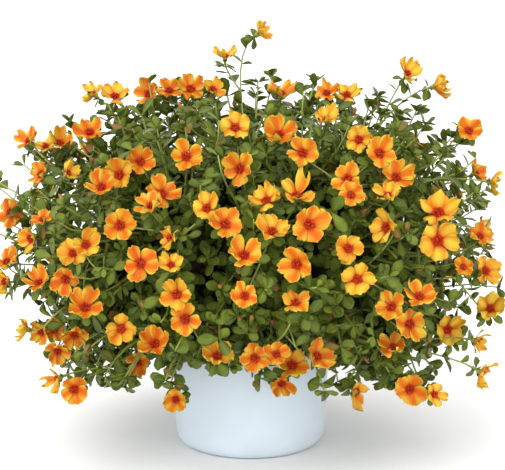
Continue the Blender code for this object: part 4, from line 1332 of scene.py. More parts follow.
def stalk_leaves(draw):
    """Leaves of the flower stalks: a whorl just under each bloom, and single ones further down. A whorl's
    leaves are rolled by the sine of nine times their turn, so that no two lie alike."""
    sprays, members, _, controls = stalk_table()
    foot, axis = controls[:, 3], bloom_table()[1][members]
    across, upward = across_of(axis)
    turns = draw.uniform(0, 2 * math.pi, len(sprays))[:, None] + full_turn(WHORL_LEAVES)
    turns = (turns + draw.normal(0, 0.25, turns.shape))[..., None]
    outward = around(turns, across[:, None], upward[:, None])
    lift = draw.uniform(-0.60, 0.12, turns.shape)
    along = rows(outward + axis[:, None] * lift)
    roll = 0.5 * np.sin(9.0 * turns) * np.cross(axis[:, None], outward)
    face = axis[:, None] - outward * 0.2 + UP * 0.25 + roll
    root = foot[:, None] - axis[:, None] * draw.uniform(0.0, 0.004, turns.shape) + outward * 0.001
    size = draw.uniform(0.66, 1.08, turns.shape[:2])
    whorl = leaf_set(root, along, face, np.repeat(sprays, WHORL_LEAVES), length=WHORL_LEAF_LENGTH * size,
                     width=WHORL_LEAF_WIDTH * size, bend=draw.uniform(0.0, 0.25, size.size), cup=0.22,
                     tone=draw.uniform(0, 1, size.size))
    own = np.repeat(members, WHORL_LEAVES)
    whorl = chosen(whorl, in_room(whorl, own, np.inf))
    points, tangents = bezier_at(controls, STALK_LEAF_SPOTS)
    single = side_leaves(points, tangents, draw, STALK_LEAF_LENGTHS, sprays)
    wanted = np.linalg.norm(controls[:, 3] - controls[:, 0], axis=1) / LEAF_EVERY / len(STALK_LEAF_SPOTS)
    sparse = draw.uniform(0, 1, len(single["root"])) < np.repeat(wanted, len(STALK_LEAF_SPOTS))
    return joined((whorl, chosen(single, sparse & in_room(single, None, np.inf))))


def side_leaves(points, tangents, draw, lengths, owners):
    """Leaves set along curves at the golden angle from each other, each at an easy angle to its curve."""
    count, spots = points.shape[:2]
    across, upward = across_of(tangents)
    turns = draw.uniform(0, 2 * math.pi, count)[:, None] + GOLDEN_TURN * np.arange(spots)
    turns = (turns + draw.normal(0, 0.35, turns.shape))[..., None]
    outward = around(turns, across, upward)
    lift = draw.uniform(-0.1, 1.2, turns.shape)
    along = rows(outward + tangents * lift + UP * LEAF_RISE)
    face = (tangents * 0.8 + UP * 0.45).reshape(-1, 3) + draw.normal(0, 0.38, (count * spots, 3))
    size = draw.uniform(*lengths, count * spots)
    return leaf_set(points + outward * 0.0006, along, face, np.repeat(owners, spots), length=size,
                    width=size * draw.uniform(0.60, 0.78, size.size), bend=draw.uniform(0.0, 0.28, size.size),
                    cup=draw.uniform(0.1, 0.3, size.size), tone=draw.uniform(0, 1, size.size))


def stem_centres():
    """The middle of each leafy stem's core, which is where its stem ends."""
    return np.array([path[-1] for path in planted()["stems"]])


def drawn_in(points, k):
    """Points of a core, drawn in towards its middle, so that the leaves stand out of it."""
    return stem_centres()[k] + (points - stem_centres()[k]) * CORE_SHRINK


def twig_curves(count, draw, heights=TWIG_STARTS, reaches=TWIG_REACHES):
    """Twigs from the cores out through the mound: their control points and the stem that each is on."""
    centres = stem_centres()
    ends = mound_points(count, *heights)
    nearest_in, farthest_out = reaches
    reach = nearest_in + (farthest_out - nearest_in) * draw.uniform(0, 1, (count, 1)) ** TWIG_REACH_POWER
    ends = MOUND_CENTRE + (ends - MOUND_CENTRE) * reach + draw.normal(0, TWIG_SCATTER, (count, 3))
    stem_of = nearest(ends, centres)
    starts, directions = [], []
    for end, k in zip(ends, stem_of):
        place, direction = on_core(planted()["cores"][k], centres[k], end)
        starts.append(place - direction * TWIG_SUNK)
        directions.append(direction)
    starts, directions = np.array(starts), np.array(directions)
    length = np.linalg.norm(ends - starts, axis=1, keepdims=True)
    aim = rows(np.array([outward_at(end) for end in ends]) + UP * 0.35)
    leave = starts + directions * 0.4 * length + draw.normal(0, 0.003, (count, 3))
    controls = np.stack((starts, leave, ends - aim * 0.35 * length, ends), axis=1)
    return controls, stem_of


def skirt_curves(draw):
    """Twigs that come up out of the pot and hang over its lip, all round, and less low in front."""
    turn = (np.arange(SKIRT_TWIGS) + draw.uniform(-0.4, 0.4, SKIRT_TWIGS)) * 2 * math.pi / SKIRT_TWIGS
    outward = np.stack((np.cos(turn), SKIRT_DEPTH * np.sin(turn), np.zeros(SKIRT_TWIGS)), axis=1)
    reach = draw.uniform(*SKIRT_RADII, SKIRT_TWIGS)[:, None]
    height = draw.uniform(*SKIRT_HEIGHTS, SKIRT_TWIGS) + SKIRT_FRONT_LIFT * np.maximum(-np.sin(turn), 0)
    height = height[:, None]
    start = outward * (SKIRT_START[0] + 0.3 * (reach - SKIRT_RADII[0])) + UP * SKIRT_START[1]
    end = outward * reach + UP * height
    bow = 0.45 * (reach - SKIRT_START[0])
    controls = (start, start + outward * bow + UP * 0.012, end - outward * 0.3 * bow + UP * 0.02, end)
    return np.stack(controls, axis=1), nearest(end, stem_centres())


def twigs_and_leaves(settings, draw):
    """Every twig and its leaves: along it at the golden angle, and a tuft at its tip. Where only a few of a
    twig's leaves have room, it isn't grown."""
    crown = twig_curves(CROWN_TWIGS, draw, CROWN_STARTS, CROWN_REACHES)
    parts = [twig_curves(settings.twigs, draw), crown, skirt_curves(draw)]
    controls = np.concatenate([part[0] for part in parts])
    owners = np.concatenate([part[1] for part in parts])
    paths, _ = bezier_at(controls, np.linspace(0, 1, TWIG_RINGS))
    limits = np.where(np.arange(len(paths)) < len(paths) - SKIRT_TWIGS, LEAF_LIMIT, SKIRT_LIMIT)
    clear = clear_of_pot(paths.reshape(-1, 3)).reshape(len(paths), -1).all(axis=1)
    twigs = np.arange(len(paths))
    points, tangents = bezier_at(controls, TWIG_LEAF_SPOTS)
    lengths = (0.72 * settings.leaf_length, settings.leaf_length)
    along_twig = side_leaves(points, tangents, draw, lengths, twigs)
    tip, tangent = bezier_at(controls, (1.0,) * TIP_LEAVES)
    tuft = side_leaves(tip, tangent, draw, (0.5 * settings.leaf_length, 0.8 * settings.leaf_length), twigs)
    leaves = joined((along_twig, tuft))
    leaves = chosen(leaves, in_room(leaves, None, limits[leaves["owner"]]))
    grown = clear & (np.bincount(leaves["owner"], minlength=len(paths)) >= TWIG_LEAST_LEAVES)
    grown &= tip_has_leaves(leaves, paths)
    leaves = chosen(leaves, grown[leaves["owner"]])
    leaves["owner"] = owners[leaves["owner"]]
    return paths[grown], owners[grown], leaves


def tip_has_leaves(leaves, paths):
    """Whether some leaf of each twig is rooted at its tip, so that no twig ends bare."""
    at_tip = np.linalg.norm(leaves["root"] - paths[leaves["owner"], -1], axis=1) < TIP_NEAR
    return np.bincount(leaves["owner"][at_tip], minlength=len(paths)) > 0


def carpet(draw):
    """Leaves that lie all over each core, rooted in its surface, for the deep shade between the twigs. They
    lie closest on the faces that look out of the mound."""
    sets = []
    for k, (points, faces) in enumerate(planted()["cores"]):
        corners = points[np.array(faces)]
        normals = np.cross(corners[:, 1] - corners[:, 0], corners[:, 2] - corners[:, 0])
        areas = np.linalg.norm(normals, axis=1)
        outside = (rows(normals) * rows(corners.mean(axis=1) - MOUND_CENTRE)).sum(axis=1)
        weights = areas * np.maximum(outside, CARPET_LEAST)
        face_of = draw.choice(len(faces), CARPET_LEAVES, p=weights / weights.sum())
        shares = draw.dirichlet((1.0, 1.0, 1.0), CARPET_LEAVES)
        root = (corners[face_of] * shares[:, :, None]).sum(axis=1)
        normal = rows(normals[face_of])
        root = drawn_in(root, k)
        across, upward = across_of(normal)
        turn = draw.uniform(0, 2 * math.pi, CARPET_LEAVES)[:, None]
        size = draw.uniform(*CARPET_LENGTHS, CARPET_LEAVES)
        along = around(turn, across, upward) + normal * draw.uniform(0.2, 1.2, (CARPET_LEAVES, 1))
        # Their tones stay in the darker part of the range: painted shade for the inside of the mound.
        sets.append(leaf_set(root, along, normal + UP * 0.3, k, length=size, width=size * 0.64, bend=0.12,
                             cup=0.2, tone=draw.uniform(0, 0.6, CARPET_LEAVES)))
    leaves = joined(sets)
    return chosen(leaves, in_room(leaves))


def shoot_leaves(draw):
    """The leaves that stand out of the solids, each in its own place."""
    found = [(stem, *leaf) for stem, _, whorls in planted()["shoots"] for *_, leaves in whorls
             for leaf in leaves if leaf]
    owner, root, along, face, length, width = (np.array(column) for column in zip(*found))
    return leaf_set(root, along, face, owner, length=length, width=width, bend=LEAF_DROOP, cup=0.2,
                    tone=draw.uniform(0, 1, len(found)))


def buds(paths, share, draw):
    """Buds on short necks at the tips of a share of the twigs: a tube whose radius swells to past its middle
    and then runs to a point. Gives the twig and the tone of each as well."""
    budding = np.flatnonzero(draw.uniform(0, 1, len(paths)) < share)
    tips = paths[budding, -1]
    budding = budding[clear_of_blooms(tips) & (mound_measure(tips) < BUD_DEPTH)]
    tips = paths[budding, -1]
    tangents = rows(tips - paths[budding, -2])
    lean = rows(tangents + draw.normal(0, 0.35, tangents.shape) + UP * 0.3)
    length = draw.uniform(*BUD_LENGTHS, len(tips))[:, None, None]
    bow = draw.normal(0, 0.12, tips.shape)[:, None] * np.sin(math.pi * BUD_SPOTS)[:, None]
    curves = tips[:, None] + (BUD_SPOTS[:, None] * lean[:, None] + bow * 0.5) * length
    shapes = carry(curves, BUD_RADII * draw.uniform(0.8, 1.1, (len(tips), 1)), STALK_SIDES)
    return budding, shapes, draw.uniform(0, 1, len(budding))


def sepals(draw):
    """Two broad green sepals that hold each bloom from below."""
    sprays, members, _, _ = stalk_table()
    _, axes, radii, spins = bloom_table()
    radius = radii[members][:, None]
    turns = spins[members][:, None] + draw.uniform(0, math.pi, (len(members), 1)) + full_turn(SEPALS)
    low, high = -CUP_SHARE * radius - SEPAL_ROOT_DEPTH, -0.24 * radius - SEPAL_TIP_DEPTH
    root = to_blooms(round_bloom(turns, SEPAL_ROOT_RADIUS, 0.0, low), members).reshape(-1, 3)
    tip = to_blooms(round_bloom(turns, 0.42 * radius, 0.0, high), members).reshape(-1, 3)
    face = np.repeat(axes[members], SEPALS, axis=0)
    length = np.linalg.norm(tip - root, axis=1)
    return leaf_set(root, tip - root, face, np.repeat(sprays, SEPALS), length=length, width=0.85 * length,
                    bend=0.02, cup=0.08, tone=draw.uniform(0.5, 1.0, len(root)))


class Wiring:
    """Adds nodes to a material's or a group's tree, and joins them."""

    def __init__(self, tree):
        self.tree = tree

    def add(self, kind, feeds=None, **settings):
        """Adds a node with its settings, and gives its inputs what feeds them: sockets or plain values."""
        made = self.tree.nodes.new(kind)
        for label, value in settings.items():
            setattr(made, label, value)
        for label, value in (feeds or {}).items():
            if isinstance(value, bpy.types.NodeSocket):
                self.tree.links.new(value, made.inputs[label])
            else:
                made.inputs[label].default_value = value
        return made

    def maths(self, operation, *values, clamp=False):
        feeds = dict(enumerate(values))
        return self.add("ShaderNodeMath", feeds, operation=operation, use_clamp=clamp).outputs[0]

    def times(self, first, second):
        return self.maths("MULTIPLY", first, second)

    def scaled(self, value, factor, shift):
        """The value times the factor, plus the shift."""
        return self.maths("MULTIPLY_ADD", value, factor, shift)

    def aside(self, across):
        """How far a place is from the middle line: 0 on it and 1 at either side."""
        return self.maths("ABSOLUTE", self.scaled(across, 2.0, -1.0))

    def step(self, value, low, high):
        """A smooth step from 0 at low to 1 at high."""
        feeds = {"Value": value, "From Min": low, "From Max": high}
        return self.add("ShaderNodeMapRange", feeds, interpolation_type="SMOOTHSTEP").outputs["Result"]

    def blend(self, share, first, second):
        """The first colour where share is 0 and the second where it is 1."""
        feeds = {0: share, 6: solid(first), 7: solid(second)}
        return self.add("ShaderNodeMix", feeds, data_type="RGBA").outputs[2]

    def mark(self, label):
        """A number that the mesh holds for each of its points."""
        return self.add("ShaderNodeAttribute", attribute_name=label).outputs["Fac"]

    def place(self):
        """The pattern's place: across and along."""
        spot = self.add("ShaderNodeUVMap", uv_map="place").outputs["UV"]
        parts = self.add("ShaderNodeSeparateXYZ", {0: spot})
        return parts.outputs["X"], parts.outputs["Y"]

    def where(self):
        """The place on the piece itself, in metres."""
        return self.add("ShaderNodeTexCoord").outputs["Object"]

    def noise(self, spot, scale, detail):
        feeds = {"Vector": spot, "Scale": scale, "Detail": detail}
        return self.add("ShaderNodeTexNoise", feeds).outputs[0]

    def cells(self, scale):
        """How far each place on the piece is from the middle of its cell."""
        feeds = {"Vector": self.where(), "Scale": scale}
        return self.add("ShaderNodeTexVoronoi", feeds).outputs["Distance"]

    def bump(self, height, distance, strength=1.0):
        feeds = {"Height": height, "Distance": distance, "Strength": strength}
        return self.add("ShaderNodeBump", feeds).outputs["Normal"]


def start_group(name, inputs, outputs):
    """A new node group with its inputs and their defaults, and its outputs."""
    group = bpy.data.node_groups.new(name, "ShaderNodeTree")
    for label, value in inputs:
        made = group.interface.new_socket(name=label, in_out="INPUT", socket_type="NodeSocketFloat")
        made.default_value = value
    for label in outputs:
        group.interface.new_socket(name=label, in_out="OUTPUT", socket_type="NodeSocketFloat")
    wiring = Wiring(group)
    return wiring, wiring.add("NodeGroupInput"), wiring.add("NodeGroupOutput")


@functools.cache
def mottle_group():
    """Uneven growth and wear: a coarse mask and a fine grain, both from noise on the piece's own place."""
    scales = (("Coarse scale", 60.0), ("Fine scale", 900.0))
    wiring, given, out = start_group("mottle", scales, ("Coarse", "Fine"))
    coarse = wiring.noise(wiring.where(), given.outputs[0], 3.0)
    fine = wiring.noise(wiring.where(), given.outputs[1], 2.0)
    wiring.tree.links.new(wiring.step(coarse, 0.35, 0.65), out.inputs["Coarse"])
    wiring.tree.links.new(fine, out.inputs["Fine"])
    return wiring.tree


@functools.cache
def streak_group():
    """Fine veins that run along a petal or a leaf: noise stretched along the pattern, told apart by tone."""
    wiring, given, out = start_group("streaks", (("Across", 9.0), ("Along", 1.2)), ("Streak",))
    across, along = wiring.place()
    spot = wiring.add("ShaderNodeCombineXYZ", {
        "X": wiring.times(across, given.outputs[0]),
        "Y": wiring.times(along, given.outputs[1]),
        "Z": wiring.times(wiring.mark("tone"), 37.0),
    })
    wiring.tree.links.new(wiring.noise(spot.outputs[0], 1.0, 2.0), out.inputs["Streak"])
    return wiring.tree


class Look(Wiring):
    """A new material with its Principled shader, and the wiring to finish it."""

    def __init__(self, name, roughness, specular):
        self.material = bpy.data.materials.new(name)
        self.material.use_nodes = True
        super().__init__(self.material.node_tree)
        self.shader = self.tree.nodes["Principled BSDF"]
        self.shader.inputs["Roughness"].default_value = roughness
        self.shader.inputs["Specular IOR Level"].default_value = specular

    def mottled(self, coarse, fine):
        """The coarse mask and the fine grain, at their scales."""
        feeds = {"Coarse scale": coarse, "Fine scale": fine}
        group = self.add("ShaderNodeGroup", feeds, node_tree=mottle_group())
        return group.outputs["Coarse"], group.outputs["Fine"]

    def streaked(self, across, along):
        """The streaks, at their scales across and along."""
        feeds = {"Across": across, "Along": along}
        return self.add("ShaderNodeGroup", feeds, node_tree=streak_group()).outputs["Streak"]

    def finish(self, body, normal=None, roughness=None):
        """Joins the colour, and the relief and the roughness where they vary, and returns the material."""
        for label, value in (("Base Color", body), ("Normal", normal), ("Roughness", roughness)):
            if value is not None:
                self.tree.links.new(value, self.shader.inputs[label])
        return self.material


def shade(colour, share):
    """A colour with its light multiplied by a share."""
    return tuple(channel * share for channel in colour)


def solid(colour):
    """A colour without any see-through, or a socket as it is."""
    return colour if isinstance(colour, bpy.types.NodeSocket) else (*colour, 1.0)


def petal_look(settings):
    """Petals: a red throat, orange that is streaked along, and yellow margins, or a yellow middle with
    orange sides in some blooms, and a thin yellow rim, partly the petals' own yellow edge and partly a
    painted highlight along it."""
    look = Look("petal", 0.55, 0.15)
    across, along = look.place()
    tone, under = look.mark("tone"), look.mark("under")
    streak = look.streaked(9.0, 1.1)
    uneven = look.maths("SUBTRACT", streak, 0.5)
    lean = look.maths("SUBTRACT", look.streaked(0.6, 0.6), 0.5)
    middle = look.scaled(lean, 1.6, look.scaled(across, 2.0, -1.0))
    margin = look.scaled(uneven, 0.8, look.maths("ABSOLUTE", middle))
    sides = look.step(margin, 0.05, 1.05)
    feeds = {0: look.step(tone, 0.50, 0.36), 2: sides, 3: look.scaled(sides, -0.9, 0.9)}
    sides = look.add("ShaderNodeMix", feeds, data_type="FLOAT").outputs[0]
    tip = look.step(look.scaled(uneven, 0.25, along), 0.86, 1.02)
    pale = look.maths("MAXIMUM", sides, look.times(tip, 0.75))
    pale = look.maths("MULTIPLY", pale, look.scaled(tone, -0.45, 1.1), clamp=True)
    body = look.blend(tone, settings.orange, settings.deep_orange)
    glow = look.step(look.scaled(uneven, 0.5, along), 0.62, 0.28)
    body = look.blend(look.times(glow, 0.75), body, settings.deep_orange)
    pale = look.times(pale, look.scaled(glow, -0.5, 1.0))
    body = look.blend(pale, body, settings.yellow)
    # The thin yellow rim is partly the petals' own yellow edge and partly a painted highlight along it.
    rim = look.maths("MAXIMUM", look.step(look.aside(across), 0.68, 0.97), look.step(along, 0.88, 1.0))
    rim = look.times(rim, look.step(along, 0.30, 0.55))
    body = look.blend(look.times(rim, 0.7), body, settings.yellow)
    throat = look.step(look.scaled(uneven, 0.16, along), 0.36, 0.20)
    body = look.blend(throat, body, settings.throat_red)
    body = look.blend(look.times(under, 0.35), body, settings.yellow)
    return look.finish(body, look.bump(streak, 0.0006, 0.7))


def stamen_look(settings):
    """Stamens: red threads and anthers that go from red to orange from one to the next."""
    look = Look("stamen", 0.6, 0.3)
    body = look.blend(look.step(look.mark("tone"), 0.55, 1.0), settings.throat_red, settings.deep_orange)
    coarse, _ = look.mottled(400.0, 2500.0)
    return look.finish(look.blend(look.times(coarse, 0.35), body, shade(settings.throat_red, 0.6)))


def leaf_look(settings):
    """Fleshy leaves: green that differs from leaf to leaf, a paler midrib and back, a red-brown edge, and a
    few leaves that have turned."""
    look = Look("leaf", 0.42, 0.22)
    across, along = look.place()
    tone, under = look.mark("tone"), look.mark("under")
    coarse, fine = look.mottled(90.0, 1400.0)
    share = look.scaled(coarse, 0.35, look.times(tone, 0.65))
    body = look.blend(share, settings.leaf_dark, settings.leaf_light)
    aside = look.aside(across)
    rib = look.times(look.step(aside, 0.16, 0.0), look.step(along, 1.0, 0.2))
    body = look.blend(look.times(rib, 0.35), body, settings.stem_green)
    edge = look.times(look.step(aside, 0.80, 1.0), look.step(tone, 0.35, 0.95))
    body = look.blend(look.times(edge, 0.55), body, settings.stem_red)
    turned = look.times(look.step(tone, 0.055, 0.01), look.scaled(coarse, 0.5, 0.25))
    body = look.blend(turned, body, settings.withered)
    body = look.blend(look.times(under, 0.4), body, settings.leaf_light)
    relief = look.maths("ADD", look.times(look.streaked(5.0, 2.5), 0.6), look.times(fine, 0.4))
    return look.finish(body, look.bump(relief, 0.0004, 0.6), look.scaled(fine, 0.25, 0.30))


def stem_look(settings):
    """Stems and flower stalks: olive green, flushed with red in places."""
    look = Look("stem", 0.4, 0.5)
    coarse, fine = look.mottled(45.0, 1500.0)
    flush = look.times(coarse, look.step(look.mark("tone"), 0.3, 1.0))
    body = look.blend(look.times(flush, 0.4), settings.stem_green, settings.stem_red)
    return look.finish(body, look.bump(fine, 0.0003, 0.5))


def core_look(settings):
    """The heart of the mound, where leaves are packed tight: small cells of dark green on deep brown.

    Both colours are painted shade: the dark of the gaps deep among the packed leaves.
    """
    look = Look("packed leaves", 0.8, 0.2)
    cells = look.cells(110.0)
    # Dark leaf green at half its light, on deep brown at the cells' edges: painted shade in the gaps.
    body = look.blend(look.step(cells, 0.55, 0.05), settings.gap_shade_brown, shade(settings.leaf_dark, 0.5))
    return look.finish(body, look.bump(look.maths("SUBTRACT", 1.0, cells), 0.004))


def bud_look(settings):
    """Buds: green at the neck and orange towards the point, or all brown where they have withered."""
    look = Look("bud", 0.5, 0.4)
    _, along = look.place()
    coarse, fine = look.mottled(300.0, 2500.0)
    body = look.blend(look.step(along, 0.45, 0.8), settings.stem_green, settings.bud_orange)
    brown = look.blend(coarse, settings.withered, shade(settings.withered, 0.45))
    body = look.blend(look.step(look.mark("tone"), 0.35, 0.45), body, brown)
    return look.finish(body, look.bump(fine, 0.0005, 0.6))


def pot_look(settings):
    """The pot: pale, bluish white, satin, with faint unevenness and a little dust near its foot."""
    look = Look("pot", 0.35, 0.5)
    height = look.add("ShaderNodeSeparateXYZ", {0: look.where()}).outputs["Z"]
    coarse, fine = look.mottled(22.0, 700.0)
    body = look.blend(look.times(coarse, 0.5), settings.white, shade(settings.white, 0.95))
    dust = look.times(look.step(height, 0.03, 0.0), look.times(coarse, 0.25))
    body = look.blend(dust, body, settings.dust)
    return look.finish(body, look.bump(fine, 0.0002, 0.5), look.scaled(fine, 0.2, 0.27))


def soil_look(settings):
    """Potting soil: dark brown crumbs, some paler, with painted shade in the cracks between them."""
    look = Look("soil", 0.95, 0.2)
    crumbs = look.cells(420.0)
    coarse, fine = look.mottled(150.0, 1800.0)
    body = look.blend(coarse, settings.brown, shade(settings.brown, 2.2))
    # Darker towards each crumb's edge, where the relief sinks: painted shade in the cracks.
    body = look.blend(look.step(crumbs, 0.2, 0.6), body, shade(settings.brown, 0.4))
    return look.finish(body, look.bump(look.maths("SUBTRACT", look.times(fine, 0.4), crumbs), 0.0015))


def floor_look(settings):
    """A plain pale floor."""
    look = Look("floor", 0.7, 0.2)
    coarse, _ = look.mottled(3.0, 200.0)
    return look.finish(look.blend(coarse, settings.floor, shade(settings.floor, 0.99)))


def smooth_profile(corners, rounds, steps=5):
    """A profile whose corners are rounded: each is replaced by a square-law curve between two points that
    lie a given distance before and after it."""
    points = []
    for k, corner in enumerate(corners):
        corner, reach = np.array(corner, float), rounds[k]
        if not reach:
            points.append(corner)
            continue
        before, after = np.array(corners[k - 1], float), np.array(corners[k + 1], float)
        start, end = corner + unit(before - corner) * reach, corner + unit(after - corner) * reach
        t = np.linspace(0, 1, steps)[:, None]
        points.extend((1 - t) ** 2 * start + 2 * t * (1 - t) * corner + t**2 * end)
    return np.array(points)


def turned_grid(profile, sides):
    """A profile turned about the upright axis: its radius times cosine and sine of the turn, at its height.
    Its first and last points are on the axis, and each is one point there."""
    turn = full_turn(sides)
    radius, height = profile[1:-1, 0][:, None], profile[1:-1, 1][:, None]
    grid = np.stack(np.broadcast_arrays(radius * np.cos(turn), radius * np.sin(turn), height), axis=-1)
    ends = [(0.0, 0.0, profile[0, 1]), (0.0, 0.0, profile[-1, 1])]
    return np.concatenate((grid.reshape(-1, 3), ends))


def make_turned(name, points, sides, look, slot, node):
    """Makes a piece of turned points: rings of so many sides, with a point that closes each end."""
    pile = Pile()
    pile.add_tubes(points[None], sides, (EVEN_TONE,))
    return make_piece(name, pile, [look], slot, node)


def weld(mesh):
    """Joins points that the cutting left in one place, and takes out the faces left without area."""
    work = bmesh.new()
    work.from_mesh(mesh)
    bmesh.ops.remove_doubles(work, verts=work.verts, dist=WELD)
    bmesh.ops.triangulate(work, faces=[face for face in work.faces if len(face.verts) > 4])
    bmesh.ops.dissolve_degenerate(work, dist=WELD, edges=work.edges)
    work.to_mesh(mesh)
    work.free()


def punch_drains(pot):
    """Cuts the drainage holes through the pot's floor with upright round cutters."""
    group = bpy.data.collections.new("drains")
    for k in range(DRAIN_COUNT):
        angle = 2 * math.pi * (k + 0.5) / DRAIN_COUNT
        x, y = DRAIN_CIRCLE * math.cos(angle), DRAIN_CIRCLE * math.sin(angle)
        path = np.array([(x, y, z) for z in DRAIN_HEIGHTS])
        points, faces = tube(path, [DRAIN_RADIUS] * len(path), DRAIN_SIDES)
        mesh = bpy.data.meshes.new(f"drain_{k}")
        mesh.from_pydata(points.tolist(), [], faces)
        group.objects.link(bpy.data.objects.new(f"drain_{k}", mesh))
    cut = pot.modifiers.new("drains", "BOOLEAN")
    cut.operation, cut.solver = "DIFFERENCE", "EXACT"
    cut.operand_type, cut.collection = "COLLECTION", group
    finished = bpy.data.meshes.new_from_object(pot.evaluated_get(bpy.context.evaluated_depsgraph_get()))
    weld(finished)
    pot.modifiers.clear()
    pot.data = finished
    for helper in list(group.objects):
        bpy.data.objects.remove(helper)
    bpy.data.collections.remove(group)


def colour_setting(name, description, *channels):
    """A colour that a user would change, with its red, green and blue."""
    return FloatVectorProperty(name=name, description=description, default=channels, subtype="COLOR",
                               min=0, max=1)


def length_setting(name, description, start, low, high):
    """A length in metres that a user would change, with its default and its limits."""
    return FloatProperty(name=name, description=description, default=start, subtype="DISTANCE",
                         unit="LENGTH", min=low, max=high)


def light_setting(name, description, start):
    """A light's strength, with its default."""
    return FloatProperty(name=name, description=description, default=start, min=0)


class PotSettings(bpy.types.PropertyGroup):
    """The pot's finish."""

    white: colour_setting("Pot colour", "The colour of the pot's wall", 0.64, 0.73, 0.81)
    dust: colour_setting("Dust", "The dust that lies near the pot's foot", 0.46, 0.42, 0.36)
    lip_round: length_setting("Lip rounding", "How far the lip's edges are rounded", 0.0007, 0.0002, 0.001)


class SoilSettings(bpy.types.PropertyGroup):
    """The soil's colour and how rough it lies."""

    brown: colour_setting("Soil colour", "The colour of damp potting soil", 0.045, 0.028, 0.018)
    crumb: length_setting("Crumb height", "How far the soil's crumbs rise and fall", 0.0012, 0, 0.002)


class FoliageSettings(bpy.types.PropertyGroup):
    """The leaves and stems."""

    leaf_dark: colour_setting("Dark leaf", "The darkest leaves", 0.038, 0.065, 0.004)
    leaf_light: colour_setting("Light leaf", "The palest leaves and the leaves' backs", 0.152, 0.206, 0.017)
    stem_green: colour_setting("Stem green", "Stems, flower stalks and midribs", 0.27, 0.34, 0.055)
    stem_red: colour_setting("Stem red", "The red flush of stems and leaf edges", 0.28, 0.10, 0.05)
    # The deep brown is painted shade: the dark of the gaps among the packed leaves.
    gap_shade_brown: colour_setting("Gap shade brown", "The gaps among the packed leaves", 0.022, 0.016, 0.004)
    bud_orange: colour_setting("Bud orange", "The furled petals of a bud", 0.50, 0.15, 0.015)
    withered: colour_setting("Withered", "Withered blooms and leaves that have turned", 0.36, 0.14, 0.035)
    bud_share: FloatProperty(name="Bud share", description="The share of leafy twigs that end in a bud",
                             subtype="FACTOR", default=0.34, min=0, max=1)
    leaf_length: length_setting("Leaf length", "The length of the longest leaves", 0.0172, 0.01, 0.03)
    twigs: IntProperty(name="Twigs", description="How many leafy twigs fill the mound",
                       default=480, min=50, max=520)


class BloomSettings(bpy.types.PropertyGroup):
    """The blooms' colours."""

    orange: colour_setting("Orange", "The middle of a petal", 0.64, 0.235, 0.004)
    deep_orange: colour_setting("Deep orange", "A petal near its throat", 0.60, 0.100, 0.004)
    yellow: colour_setting("Yellow", "A petal's margins", 0.74, 0.52, 0.050)
    throat_red: colour_setting("Throat red", "The throat and the stamens", 0.50, 0.030, 0.007)


class StageSettings(bpy.types.PropertyGroup):
    """The floor and the lights."""

    floor: colour_setting("Floor", "The floor's colour", 0.95, 0.95, 0.95)
    key: light_setting("Key light", "The strength of the soft light from above left", 1.3)
    fill: light_setting("Fill light", "The strength of the soft light from the right", 0.6)
    sky: light_setting("Surround", "The strength of the even light from all round", 1.3)


class PORTULACA_OT_pot(bpy.types.Operator):
    """Turns the pot's wall, rounds its lip and foot, and cuts its drainage holes"""

    bl_idname = "portulaca.pot"
    bl_label = "Pot"

    def execute(self, context):
        settings = context.scene.portulaca_pot
        lip, under_lip = settings.lip_round, 0.5 * settings.lip_round
        rounds = (0, INNER_ROUND, INNER_ROUND, lip, lip, under_lip, under_lip, *[FOOT_ROUND] * 4, 0)
        points = turned_grid(smooth_profile(POT_PROFILE, rounds), POT_FINE_SIDES)
        punch_drains(make_turned("round_pot", points, POT_FINE_SIDES, pot_look(settings), "pot_white", "pot"))
        return {"FINISHED"}


class PORTULACA_OT_soil(bpy.types.Operator):
    """Fills the pot with crumbly soil"""

    bl_idname = "portulaca.soil"
    bl_label = "Soil"

    def execute(self, context):
        settings = context.scene.portulaca_soil
        low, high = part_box("soil")
        side, bottom = high[0] - SOIL_SHY, low[2] + SOIL_FLOOR_GAP
        rings = np.linspace(0.0, side, SOIL_RINGS)
        top = SOIL_TOP + SOIL_MOUND * np.clip(1 - (rings / side) ** 2, 0, 1)
        foot = POT_FOOT_RADIUS - 0.5 * POT_WALL - SOIL_FOOT_GAP
        heel = POT_HEEL_RADIUS - POT_WALL - SOIL_HEEL_GAP
        sides = np.array([(heel, POT_FOOT_ROUND + SOIL_HEEL_RISE), (foot, bottom), (0.0, bottom)])
        profile = np.concatenate((np.stack((rings, top - SOIL_SUNK), axis=1), sides))[::-1]
        points = turned_grid(profile, SOIL_FINE_SIDES)
        draw = np.random.default_rng(SEED + 1)
        loose = points[:, 2] > SOIL_TOP - 2 * SOIL_SUNK
        points[loose, 2] += draw.uniform(-1.0, 1.0, loose.sum()) * settings.crumb
        make_turned("potting_soil", points, SOIL_FINE_SIDES, soil_look(settings), "soil_brown", "soil")
        return {"FINISHED"}


